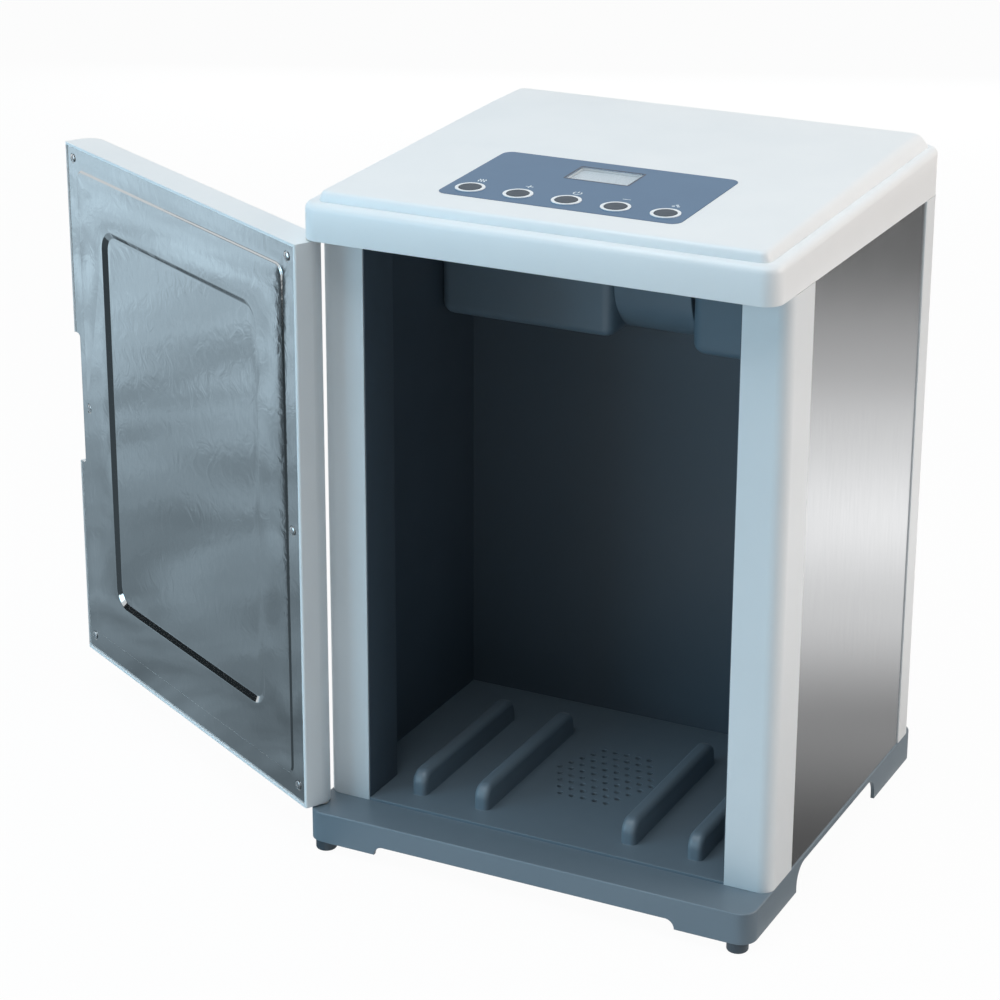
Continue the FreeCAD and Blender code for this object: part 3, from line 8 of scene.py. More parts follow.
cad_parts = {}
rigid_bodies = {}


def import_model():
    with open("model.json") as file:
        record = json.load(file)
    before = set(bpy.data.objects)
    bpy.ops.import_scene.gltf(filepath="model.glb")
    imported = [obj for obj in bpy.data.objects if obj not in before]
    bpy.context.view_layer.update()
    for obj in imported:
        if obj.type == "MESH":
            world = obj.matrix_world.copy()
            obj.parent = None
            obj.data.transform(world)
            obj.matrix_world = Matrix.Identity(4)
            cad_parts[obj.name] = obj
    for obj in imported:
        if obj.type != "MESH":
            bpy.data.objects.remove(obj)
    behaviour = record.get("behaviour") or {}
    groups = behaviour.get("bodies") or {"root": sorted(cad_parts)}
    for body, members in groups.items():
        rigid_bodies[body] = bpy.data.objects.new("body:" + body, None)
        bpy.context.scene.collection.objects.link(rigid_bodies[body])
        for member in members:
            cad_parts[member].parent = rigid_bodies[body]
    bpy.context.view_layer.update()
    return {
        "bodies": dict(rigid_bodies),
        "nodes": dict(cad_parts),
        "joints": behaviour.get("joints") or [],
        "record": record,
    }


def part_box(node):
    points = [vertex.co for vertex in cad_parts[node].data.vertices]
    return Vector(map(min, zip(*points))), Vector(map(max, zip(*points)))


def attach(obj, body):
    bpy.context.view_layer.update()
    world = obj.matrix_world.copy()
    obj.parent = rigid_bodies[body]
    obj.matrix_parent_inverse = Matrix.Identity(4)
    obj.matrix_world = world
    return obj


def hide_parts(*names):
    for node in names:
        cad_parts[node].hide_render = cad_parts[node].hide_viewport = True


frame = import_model()
nodes = frame["nodes"]
slotOf = {part["node"]: part["material_slot"] for part in frame["record"]["subparts"]}
joints = {joint["name"]: joint for joint in frame["joints"]}
print("frame loaded:", len(nodes), "parts")


def colour(hexCode):
    # an sRGB hex value as the linear numbers that shaders take
    parts = [int(hexCode[i:i + 2], 16) / 255 for i in (1, 3, 5)]
    return [p / 12.92 if p <= 0.04045 else ((p + 0.055) / 1.055) ** 2.4 for p in parts] + [1.0]


# relief in metres behind each kind of bump, and the angle from which an edge stays sharp
grainDepth, lineDepth, weaveDepth = 0.0001, 0.00005, 0.00006
sharpAngle = math.radians(32)


def addNode(tree, kind, inputs=None, **settings):
    # inputs go by name or index; a socket is linked, anything else is set
    node = tree.nodes.new(kind)
    for name, value in settings.items():
        setattr(node, name, value)
    for name, value in (inputs or {}).items():
        if isinstance(value, bpy.types.NodeSocket):
            tree.links.new(value, node.inputs[name])
        else:
            node.inputs[name].default_value = value
    return node


def perMm(size):
    # texture scale that gives features about this many millimetres across
    return 1000 / size


def newMaterial(name, shaderInputs):
    material = bpy.data.materials.new(name)
    material.use_nodes = True
    tree = material.node_tree
    tree.nodes.clear()
    shader = addNode(tree, "ShaderNodeBsdfPrincipled", shaderInputs)
    addNode(tree, "ShaderNodeOutputMaterial", {"Surface": shader.outputs[0]})
    place = addNode(tree, "ShaderNodeTexCoord").outputs["Object"]
    return material, tree, shader, place


def blendColours(tree, factor, first, second):
    mix = addNode(tree, "ShaderNodeMix", {"Factor": factor}, data_type="RGBA")
    mix.inputs[6].default_value = colour(first)
    mix.inputs[7].default_value = colour(second)
    return mix.outputs[2]


def spread(tree, source, low, high):
    # brings a noise of about 0.3 to 0.7 to a range
    limits = {"Value": source, 1: 0.3, 2: 0.7, 3: low, 4: high}
    return addNode(tree, "ShaderNodeMapRange", limits).outputs[0]


def mouldedPlastic(name, look):
    # spark-eroded tool texture as a fine grain, faint flow mottling, and edges as round as the tool leaves them
    material, tree, shader, place = newMaterial(name, {"IOR": 1.5})
    flow = addNode(tree, "ShaderNodeTexNoise", {"Vector": place, "Scale": perMm(look["flowMm"]), "Detail": 3.0})
    grain = addNode(tree, "ShaderNodeTexNoise", {"Vector": place, "Scale": perMm(look["grainMm"]), "Detail": 2.0})
    tint = blendColours(tree, flow.outputs[0], look["colour"], look["shade"])
    tree.links.new(tint, shader.inputs["Base Color"])
    gloss = spread(tree, flow.outputs[0], look["rough"] - 0.04, look["rough"] + 0.05)
    tree.links.new(gloss, shader.inputs["Roughness"])
    edge = addNode(tree, "ShaderNodeBevel", {"Radius": look["edgeMm"] / 1000}, samples=8)
    bump = {"Height": grain.outputs[0], "Normal": edge.outputs[0], "Strength": look["grain"], "Distance": grainDepth}
    tree.links.new(addNode(tree, "ShaderNodeBump", bump).outputs[0], shader.inputs["Normal"])
    return material


def drawnMetal(name, look):
    # metal with lines left by rolling or brushing, stretched along one axis, over a slow waviness of thin sheet
    material, tree, shader, place = newMaterial(name, {"Metallic": 1.0})
    stretched = addNode(tree, "ShaderNodeMapping", {"Vector": place, "Scale": look["stretch"]}).outputs[0]
    lines = addNode(
        tree, "ShaderNodeTexNoise", {"Vector": stretched, "Scale": perMm(look["lineMm"]), "Detail": 4.0}
    )
    wave = addNode(
        tree, "ShaderNodeTexNoise",
        {"Vector": place, "Scale": perMm(look["waveMm"]), "Detail": 2.0, "Distortion": look.get("swirl", 0.0)},
    )
    tint = blendColours(tree, lines.outputs[0], look["colour"], look["shade"])
    tree.links.new(tint, shader.inputs["Base Color"])
    gloss = spread(tree, lines.outputs[0], look["rough"] * 0.8, look["rough"] * 1.25)
    tree.links.new(gloss, shader.inputs["Roughness"])
    edge = addNode(tree, "ShaderNodeBevel", {"Radius": look["edgeMm"] / 1000}, samples=4)
    slow = addNode(
        tree, "ShaderNodeBump",
        {"Height": wave.outputs[0], "Normal": edge.outputs[0], "Strength": 1.0, "Distance": look["waveDepth"]},
    )
    fine = addNode(
        tree, "ShaderNodeBump",
        {"Height": lines.outputs[0], "Normal": slow.outputs[0], "Strength": look["line"], "Distance": lineDepth},
    )
    tree.links.new(fine.outputs[0], shader.inputs["Normal"])
    return material


def printedFilm(name, look):
    # satin polyester: ink under a fine matte texture
    fixed = {"IOR": 1.57, "Roughness": look["rough"], "Specular IOR Level": 0.25}
    material, tree, shader, place = newMaterial(name, fixed)
    flow = addNode(tree, "ShaderNodeTexNoise", {"Vector": place, "Scale": perMm(24), "Detail": 3.0})
    weave = addNode(tree, "ShaderNodeTexNoise", {"Vector": place, "Scale": perMm(0.35), "Detail": 1.0})
    tint = blendColours(tree, flow.outputs[0], look["colour"], look["shade"])
    tree.links.new(tint, shader.inputs["Base Color"])
    bump = {"Height": weave.outputs[0], "Strength": look["grain"], "Distance": weaveDepth}
    tree.links.new(addNode(tree, "ShaderNodeBump", bump).outputs[0], shader.inputs["Normal"])
    return material


# every slot's finish; grain and wave sizes are real ones in millimetres
plastics = {
    # injection moulded ABS, satin: bright and even, with a soft sheen along its edges
    "white_plastic": ("absWhiteMoulded", dict(
        colour="#F2F5F6", shade="#EAEEF0", rough=0.36, flowMm=60, grainMm=0.7, grain=0.10, edgeMm=0.5)),
    # the same ABS on the posts, as a greyer copy: painted shade that makes the posts render darker than the lid
    "white_post_painted_shade": ("absWhitePostPaintedShade", dict(
        colour="#E6EBEE", shade="#DEE4E7", rough=0.38, flowMm=60, grainMm=0.7, grain=0.10, edgeMm=0.6)),
    # ABS with slate pigment, a finer satin
    "base_plastic": ("absSlateMoulded", dict(
        colour="#73828D", shade="#6C7B86", rough=0.42, flowMm=45, grainMm=0.8, grain=0.16, edgeMm=0.8)),
    "foot_rubber": ("rubberSlateMoulded", dict(
        colour="#3D4952", shade="#36414A", rough=0.6, flowMm=6, grainMm=0.6, grain=0.3, edgeMm=0.5)),
    "dark_liner": ("enamelCharcoalSheet", dict(
        colour="#4C5A65", shade="#45525D", rough=0.4, flowMm=70, grainMm=1.6, grain=0.10, edgeMm=0.3)),
    "housing_plastic": ("ppSlateMoulded", dict(
        colour="#6F828F", shade="#687A87", rough=0.4, flowMm=40, grainMm=0.8, grain=0.15, edgeMm=1.6)),
    "ring_white": ("absWhiteRing", dict(
        colour="#F4F8FA", shade="#ECF1F4", rough=0.3, flowMm=10, grainMm=0.5, grain=0.05, edgeMm=0.25)),
    "button_rubber": ("siliconeGraphite", dict(
        colour="#33404C", shade="#2D3944", rough=0.55, flowMm=5, grainMm=0.4, grain=0.2, edgeMm=0.8)),
    "switch_black": ("nylonBlackMoulded", dict(
        colour="#1D1F22", shade="#17191B", rough=0.45, flowMm=12, grainMm=0.5, grain=0.2, edgeMm=0.3)),
    "nylon": ("nylonNaturalMoulded", dict(
        colour="#DDD9CC", shade="#D2CDBE", rough=0.4, flowMm=6, grainMm=0.5, grain=0.1, edgeMm=0.2)),
    "mica": ("micaBoard", dict(
        colour="#9C8560", shade="#7D6848", rough=0.5, flowMm=3, grainMm=0.9, grain=0.4, edgeMm=0.2)),
    "magnet_ferrite": ("ferritePressed", dict(
        colour="#2A2B2E", shade="#1E1F21", rough=0.55, flowMm=2, grainMm=0.3, grain=0.4, edgeMm=0.3)),
    "rear_plastic": ("absPaleMoulded", dict(
        colour="#E4E8EA", shade="#DBE0E3", rough=0.4, flowMm=60, grainMm=0.8, grain=0.15, edgeMm=0.6)),
    "circuit_board": ("solderMaskGreen", dict(
        colour="#1F5A36", shade="#184A2C", rough=0.3, flowMm=8, grainMm=1.2, grain=0.15, edgeMm=0.1)),
}
metals = {
    # cold rolled stainless, brushed upright and lightly polished: a long soft gradient
    "brushed_steel": ("stainlessBrushed", dict(
        colour="#C4C5C6", shade="#BBBCBE", rough=0.20, stretch=(1, 1, 0.02), lineMm=0.5, line=0.12,
        waveMm=160, waveDepth=0.00015, edgeMm=0.3)),
    # bright annealed stainless, pressed thin: a mirror that the press and the roll leave slightly wavy
    "polished_steel": ("stainlessBrightPressed", dict(
        colour="#C6CACC", shade="#BCC2C5", rough=0.08, stretch=(1, 1, 0.15), lineMm=1.2, line=0.05,
        waveMm=17, waveDepth=0.00009, swirl=1.6, edgeMm=0.15)),
    "screw_steel": ("steelZincPlated", dict(
        colour="#E4E6E8", shade="#D2D6D9", rough=0.28, stretch=(1, 1, 1), lineMm=0.4, line=0.1,
        waveMm=2, waveDepth=0.00001, edgeMm=0.1)),
    "motor_steel": ("steelGalvanised", dict(
        colour="#A9ADB0", shade="#989DA1", rough=0.35, stretch=(1, 1, 1), lineMm=1.5, line=0.15,
        waveMm=5, waveDepth=0.00002, edgeMm=0.2)),
    "heater_aluminium": ("aluminiumRolled", dict(
        colour="#C9CBCC", shade="#BDBFC1", rough=0.32, stretch=(0.05, 1, 1), lineMm=0.4, line=0.1,
        waveMm=8, waveDepth=0.00002, edgeMm=0.1)),
}
films = {
    "overlay_film": ("polyesterPrintedBlue", dict(colour="#4C6F8E", shade="#476988", rough=0.4, grain=0.12)),
    "display_face": ("liquidCrystalPale", dict(colour="#EEF3F6", shade="#E6EDF1", rough=0.3, grain=0.03)),
}
finishes = {slot: mouldedPlastic(*entry) for slot, entry in plastics.items()}
finishes.update({slot: drawnMetal(*entry) for slot, entry in metals.items()})
finishes.update({slot: printedFilm(*entry) for slot, entry in films.items()})
inkPale = printedFilm("inkPale", dict(colour="#E9F1F6", shade="#DEE8EF", rough=0.4, grain=0.05))
inkDark = printedFilm("inkDark", dict(colour="#3E4A5C", shade="#394455", rough=0.4, grain=0.05))

# cast acrylic: clear, glossy, slightly grey from the polariser under it
acrylic, acrylicTree, acrylicShader, acrylicPlace = newMaterial(
    "acrylicDisplay", {"IOR": 1.49, "Alpha": 0.3, "Roughness": 0.08}
)
haze = addNode(acrylicTree, "ShaderNodeTexNoise", {"Vector": acrylicPlace, "Scale": perMm(14), "Detail": 2.0})
acrylicTree.links.new(
    blendColours(acrylicTree, haze.outputs[0], "#DDE7ED", "#D5E0E7"), acrylicShader.inputs["Base Color"]
)
finishes["display_glass"] = acrylic

for name, part in nodes.items():
    part.data.materials.clear()
    # the posts take the greyer copy of the white, a painted shade
    part.data.materials.append(finishes["white_post_painted_shade" if name.endswith("_post") else slotOf[name]])
print("finishes made:", len(finishes))


def keep(name, mesh, material, body, stands=()):
    # a finished mesh becomes a piece of the model
    mesh.materials.clear()
    mesh.materials.append(material)
    piece = bpy.data.objects.new(name, mesh)
    bpy.context.scene.collection.objects.link(piece)
    mesh.shade_smooth()
    mesh.set_sharp_from_angle(angle=sharpAngle)
    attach(piece, body)
    if stands:
        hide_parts(*stands)
    return piece


def closedMesh(name, verts, faces, place=Matrix.Identity(4)):
    # millimetres in, a closed mesh with outward faces in metres out
    build = bmesh.new()
    spots = [build.verts.new(place @ Vector([c / 1000 for c in v])) for v in verts]
    for face in faces:
        build.faces.new([spots[i] for i in face])
    bmesh.ops.recalc_face_normals(build, faces=build.faces)
    mesh = bpy.data.meshes.new(name)
    build.to_mesh(mesh)
    build.free()
    return mesh


def loft(rings):
    # quads between rings of equal count
    count = len(rings[0])
    verts = [v for ring in rings for v in ring]
    faces = []
    for r in range(len(rings) - 1):
        for i in range(count):
            j = (i + 1) % count
            a, b = r * count, (r + 1) * count
            faces.append((a + i, b + i, b + j, a + j))
    return verts, faces


def subtract(mesh, cutters):
    # takes closed cutters out of a closed mesh
    body = bpy.data.objects.new("cutBody", mesh)
    tool = bpy.data.objects.new("cutTool", cutters)
    for item in (body, tool):
        bpy.context.scene.collection.objects.link(item)
    cut = body.modifiers.new("cut", "BOOLEAN")
    cut.operation, cut.solver, cut.object = "DIFFERENCE", "EXACT", tool
    bpy.context.view_layer.update()
    graph = bpy.context.evaluated_depsgraph_get()
    result = bpy.data.meshes.new_from_object(body.evaluated_get(graph), depsgraph=graph)
    for item in (body, tool):
        bpy.data.objects.remove(item)
    return result


def roundedLoop(x0, x1, y0, y1, r, steps=8):
    # a rectangle with round corners, counterclockwise from its lower right corner
    loop = []
    for quarter, (cx, cy) in enumerate(((x1 - r, y0 + r), (x1 - r, y1 - r), (x0 + r, y1 - r), (x0 + r, y0 + r))):
        for i in range(steps + 1):
            turn = math.pi / 2 * (quarter - 1 + i / steps)
            loop.append((cx + r * math.cos(turn), cy + r * math.sin(turn)))
    return loop


def prism(loop, low, high):
    # a flat loop drawn out along z, capped
    count = len(loop)
    verts, faces = loft([[(x, y, low) for x, y in loop], [(x, y, high) for x, y in loop]])
    return verts, faces + [tuple(range(count)), tuple(range(count, 2 * count))]


def merged(parts):
    # several vertex and face lists as one
    verts, faces = [], []
    for partVerts, partFaces in parts:
        faces += [tuple(i + len(verts) for i in face) for face in partFaces]
        verts += partVerts
    return verts, faces


# the lid: a rim that climbs to the back, and a raised top with leaning sides
lidLook = dict(
    wall=2.5, corner=12, edgeRound=0.7, rimFront=24.9, rimBack=33.5, rimRound=5,
    topFront=31.8, topKink=41.3, topBack=41.5, kinkBehind=51, topRound=3.2, topCorner=6, topWall=3.3,
    foot=(7.4, 8.9, 6.4, 6.1), crest=(8.4, 10.7, 12.8, 8.0), groove=0.45, kinkSoftness=9,
    arcSteps=8, sideSteps=28, innerCorner=5, innerStep=4, innerDrop=6, lipUp=0.3,
)
panelLook = dict(
    inset=36, width=168, depth=102, corner=7, recess=0.8, slip=0.2, buttonPitch=34, buttonRow=17.5, buttonHole=7.6,
    displayWidth=44, displayFront=62, displayBack=89,
)
lidLow, lidHigh = (corner * 1000 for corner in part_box("lid"))
topStart = lidLow.y + 7.6
topSlope = (lidLook["topKink"] - lidLook["topFront"]) / (lidHigh.y - lidLook["kinkBehind"] - topStart)
panelHeight = lidLow.z + lidLook["topFront"] + topSlope * (panelLook["inset"] - 7.6)
panelPlace = Matrix.Translation(Vector((0, lidLow.y + panelLook["inset"], panelHeight)) / 1000)
panelPlace = panelPlace @ Matrix.Rotation(math.atan(topSlope), 4, "X")
buttonXs = [panelLook["buttonPitch"] * i for i in range(-2, 3)]


def rimHeight(y):
    return np.interp(y, [lidLow.y, lidHigh.y], [lidLook["rimFront"], lidLook["rimBack"]])


def topHeight(y):
    kink = lidHigh.y - lidLook["kinkBehind"]
    ends = ([topStart - 50, kink, lidHigh.y + 50],
            [lidLook["topFront"] - 50 * topSlope, lidLook["topKink"], lidLook["topBack"] + 0.5])
    soft = lidLook["kinkSoftness"]
    return sum(np.interp(y + shift, *ends) * weight for shift, weight in ((-soft, 0.25), (0, 0.5), (soft, 0.25)))


def lidRing(insets, corner, height):
    # one level of the lid: insets at the front, the sides' front and back ends, and the back
    front, sideFront, sideBack, back = insets
    y0, y1 = lidLow.y + front, lidHigh.y - back
    steps, count = lidLook["arcSteps"], lidLook["sideSteps"]
    left = []
    for i in range(steps + 1):
        turn = math.pi / 2 * i / steps
        left.append((lidHigh.x - sideFront - corner + corner * math.sin(turn), y0 + corner - corner * math.cos(turn)))
    for i in range(1, count):
        y = y0 + corner + (y1 - y0 - 2 * corner) * i / count
        left.append((lidHigh.x - float(np.interp(y, [y0, y1], [sideFront, sideBack])), y))
    for i in range(steps + 1):
        turn = math.pi / 2 * i / steps
        left.append((lidHigh.x - sideBack - corner + corner * math.cos(turn), y1 - corner + corner * math.sin(turn)))
    loop = [(-x, y) for x, y in left] + left[::-1]
    return [(x, y, lidLow.z + float(height(y))) for x, y in loop]


def makeLid():
    look = lidLook
    even = lambda inset: (inset,) * 4
    shift = lambda base, more: tuple(v + more for v in base)
    mixRow = lambda a, b, t: tuple(p + (q - p) * t for p, q in zip(a, b))
    edge, wall, rimRound = look["edgeRound"], look["wall"], look["rimRound"]
    inner, step, drop, lip = (look[key] for key in ("innerCorner", "innerStep", "innerDrop", "lipUp"))
    foot, crest, topRound = look["foot"], look["crest"], look["topRound"]
    levels = [
        (shift(crest, inner), inner, lambda y: topHeight(y) - look["topWall"]),
        (shift(foot, wall), inner, lambda y: rimHeight(y) - wall),
        (even(wall + step), inner + 1, lambda y: rimHeight(y) - wall - 1),
        (even(wall), look["corner"] - wall, lambda y: rimHeight(y) - wall - drop),
        (even(wall), look["corner"] - wall, lambda y: lip),
        (even(wall - lip), look["corner"] - wall, lambda y: 0),
        (even(edge), look["corner"] - edge, lambda y: 0),
        (even(edge * 0.3), look["corner"] - edge * 0.3, lambda y: edge * 0.3),
        (even(0), look["corner"], lambda y: edge),
        (even(0), look["corner"], lambda y: rimHeight(y) - rimRound),
    ]
    for turn in (15, 30, 45, 60, 75, 90):
        out = rimRound * (1 - math.cos(math.radians(turn)))
        up = rimRound * (math.sin(math.radians(turn)) - 1)
        levels.append((even(out), look["corner"] - out, lambda y, up=up: rimHeight(y) + up))
    levels += [
        (shift(foot, -0.55), look["topCorner"] + 0.4, lambda y: rimHeight(y)),
        (shift(foot, -0.2), look["topCorner"] + 0.2, lambda y: rimHeight(y) - look["groove"]),
        (shift(foot, 0.1), look["topCorner"], lambda y: rimHeight(y) - look["groove"] * 0.6),
    ]
    for t in (0.12, 0.5):
        levels.append((mixRow(foot, crest, t), look["topCorner"],
                       lambda y, t=t: (1 - t) * rimHeight(y) + t * topHeight(y)))
    for t in (0.25, 0.5, 0.75, 1):
        # the soft upper edge, from half way up the wall to the flat top
        start, end = mixRow(foot, crest, 0.5), shift(crest, topRound)
        a, b, c = (1 - t) ** 2, 2 * t * (1 - t), t * t
        insets = tuple(a * p + b * q + c * r for p, q, r in zip(start, crest, end))
        levels.append((insets, look["topCorner"] - 1.5 * t,
                       lambda y, a=a, b=b, c=c: a * (rimHeight(y) + topHeight(y)) / 2 + (b + c) * topHeight(y)))
    rings = [lidRing(*level) for level in levels]
    verts, faces = loft(rings)
    half = len(rings[0]) // 2
    for base in (0, (len(rings) - 1) * 2 * half):
        for i in range(half - 1):
            faces.append((base + i, base + i + 1, base + 2 * half - 2 - i, base + 2 * half - 1 - i))
    mesh = closedMesh("lidBody", verts, faces)
    panel = panelLook
    slip = panel["slip"]
    seat = prism(roundedLoop(-panel["width"] / 2 - slip, panel["width"] / 2 + slip, -slip, panel["depth"] + slip,
                             panel["corner"] + slip), -panel["recess"], 15)
    mesh = subtract(mesh, closedMesh("seat", *seat, panelPlace))
    holes = []
    for x in buttonXs:
        r, y = panel["buttonHole"], panel["buttonRow"]
        holes.append(prism(roundedLoop(x - r, x + r, y - r, y + r, r * 0.999, 12), -9, 3))
    wide = panel["displayWidth"] / 2
    holes.append(prism(roundedLoop(-wide, wide, panel["displayFront"], panel["displayBack"], 0.5, 2), -9, 3))
    mesh = subtract(mesh, closedMesh("holes", *merged(holes), panelPlace))
    return keep("lid_shell", mesh, finishes["white_plastic"], "root", ["lid"])


makeLid()
print("lid made")

# cross-recessed pan-head screws, set on the places of the plain ones
screwLook = dict(headRadius=3.0, headHeight=1.2, dome=0.45, shankRadius=1.4, shankLength=5.0, slotLength=3.4,
                 slotWidth=0.75, slotDepth=0.8, domePower=2.6)
screwSockets = {
    "Head Radius": "headRadius", "Head Height": "headHeight", "Dome": "dome", "Shank Radius": "shankRadius",
    "Shank Length": "shankLength", "Slot Length": "slotLength", "Slot Width": "slotWidth", "Slot Depth": "slotDepth",
}


def islands(node):
    # each loose solid of a part, as an array of its corners
    build = bmesh.new()
    build.from_mesh(nodes[node].data)
    bmesh.ops.remove_doubles(build, verts=build.verts, dist=1e-6)
    left, found = set(build.verts), []
    while left:
        front = [left.pop()]
        cluster = list(front)
        while front:
            for edge in front.pop().link_edges:
                for vert in edge.verts:
                    if vert in left:
                        left.discard(vert)
                        front.append(vert)
                        cluster.append(vert)
        found.append(np.array([v.co[:] for v in cluster]))
    build.free()
    return found


def screwSpots(node, out):
    # under each head of a set of plain screws, on its axis
    spots = []
    for corners in islands(node):
        along = corners @ np.array(out)
        middle = (corners.max(0) + corners.min(0)) / 2
        seat = along.max() - screwLook["headHeight"] / 1000
        spots.append(Vector(middle) + out * (seat - float(np.dot(middle, out))))
    return spots


# the door's frame: its hinge line, with x along the closed door and y inwards
doorHinge = joints["door_hinge"]
openAngle = doorHinge["range_deg"][1]
doorPlace = Matrix.Translation(Vector((doorHinge["pos_m"][0], doorHinge["pos_m"][1], 0)))
doorPlace = doorPlace @ Matrix.Rotation(-math.radians(openAngle), 4, "Z")

# the door's inner panel: thin bright sheet, with a frame pressed up in it round a sunk field
doorPanelLook = dict(
    left=-2.8, right=321.8, bottom=33.5, top=430.3, back=14.7, face=15.5, corner=1.5, sheet=0.8,
    frameInset=15, frameHeight=0.97, frameSlope=42, frameFold=0.6, frameCorner=8,
    fieldInset=51, fieldDepth=2.5, fieldSlope=31, fieldFold=1.8, fieldCorner=16,
    notchX=315, notchLow=185, notchHigh=287, notchCorner=3, foldSteps=4, dimpleRadius=3.9, dimpleDepth=0.35,
)


def pressedSlope(inset, level, rise, angle, fold, corner):
    # a wall at an angle between two small folds, as rows of inset, level and corner radius
    turn, steps = math.radians(angle), doorPanelLook["foldSteps"]
    across = 2 * fold * math.sin(turn)
    up = 2 * fold * (1 - math.cos(turn))
    wall = (abs(rise) - up) / math.tan(turn)
    rows = []
    for i in range(steps + 1):
        a = turn * i / steps
        rows.append((fold * math.sin(a), fold * (1 - math.cos(a))))
    for i in range(steps + 1):
        a = turn * (1 - i / steps)
        rows.append((across + wall - fold * math.sin(a), abs(rise) - fold * (1 - math.cos(a))))
    side = math.copysign(1, rise)
    return [(inset + x, level + side * y, corner - x * 0.8) for x, y in rows]


def makeDoorPanel():
    look = doorPanelLook
    crest = look["face"] + look["frameHeight"]
    frame = pressedSlope(look["frameInset"], look["face"], look["frameHeight"], look["frameSlope"],
                         look["frameFold"], look["frameCorner"])
    field = pressedSlope(look["fieldInset"], crest, -look["fieldDepth"], look["fieldSlope"], look["fieldFold"],
                         look["fieldCorner"])
    behind = [(field[-1][0], field[-1][1] - look["sheet"], field[-1][2]),
              (look["fieldInset"], look["back"], look["fieldCorner"]), (0, look["back"], look["corner"])]
    edge = [(0, look["face"] - 0.2, look["corner"]), (0.2, look["face"], look["corner"])]
    rows = behind + edge + frame + field
    rings = []
    for inset, depth, corner in rows:
        loop = roundedLoop(look["left"] + inset, look["right"] - inset, look["bottom"] + inset, look["top"] - inset,
                           corner, 10)
        rings.append([(x, depth, z) for x, z in loop])
    verts, faces = loft(rings)
    count = len(rings[0])
    faces += [tuple(range(count)), tuple(range(len(verts) - count, len(verts)))]
    mesh = closedMesh("doorPanel", verts, faces, doorPlace)
    notch = roundedLoop(look["notchX"], look["right"] + 20, look["notchLow"], look["notchHigh"], look["notchCorner"], 5)
    verts, faces = prism(notch, 5, 25)
    cutter = closedMesh("notch", [(x, depth, z) for x, z, depth in verts], faces, doorPlace)
    mesh = subtract(mesh, cutter)
    # a shallow dimple under each screw head
    dimples = []
    for spot in screwSpots("door_panel_screws", doorPlace.to_3x3() @ Vector((0, 1, 0))):
        x, seat, z = doorPlace.inverted() @ spot * 1000
        r = look["dimpleRadius"]
        ring = roundedLoop(x - r, x + r, z - r, z + r, r * 0.999, 8)
        verts, faces = prism(ring, look["face"] - look["dimpleDepth"], 18)
        dimples.append(([(u, depth, v) for u, v, depth in verts], faces))
    mesh = subtract(mesh, closedMesh("dimples", *merged(dimples), doorPlace))
    return keep("door_pressed_panel", mesh, finishes["polished_steel"], "door", ["door_inner_panel"])


makeDoorPanel()
print("door panel made")


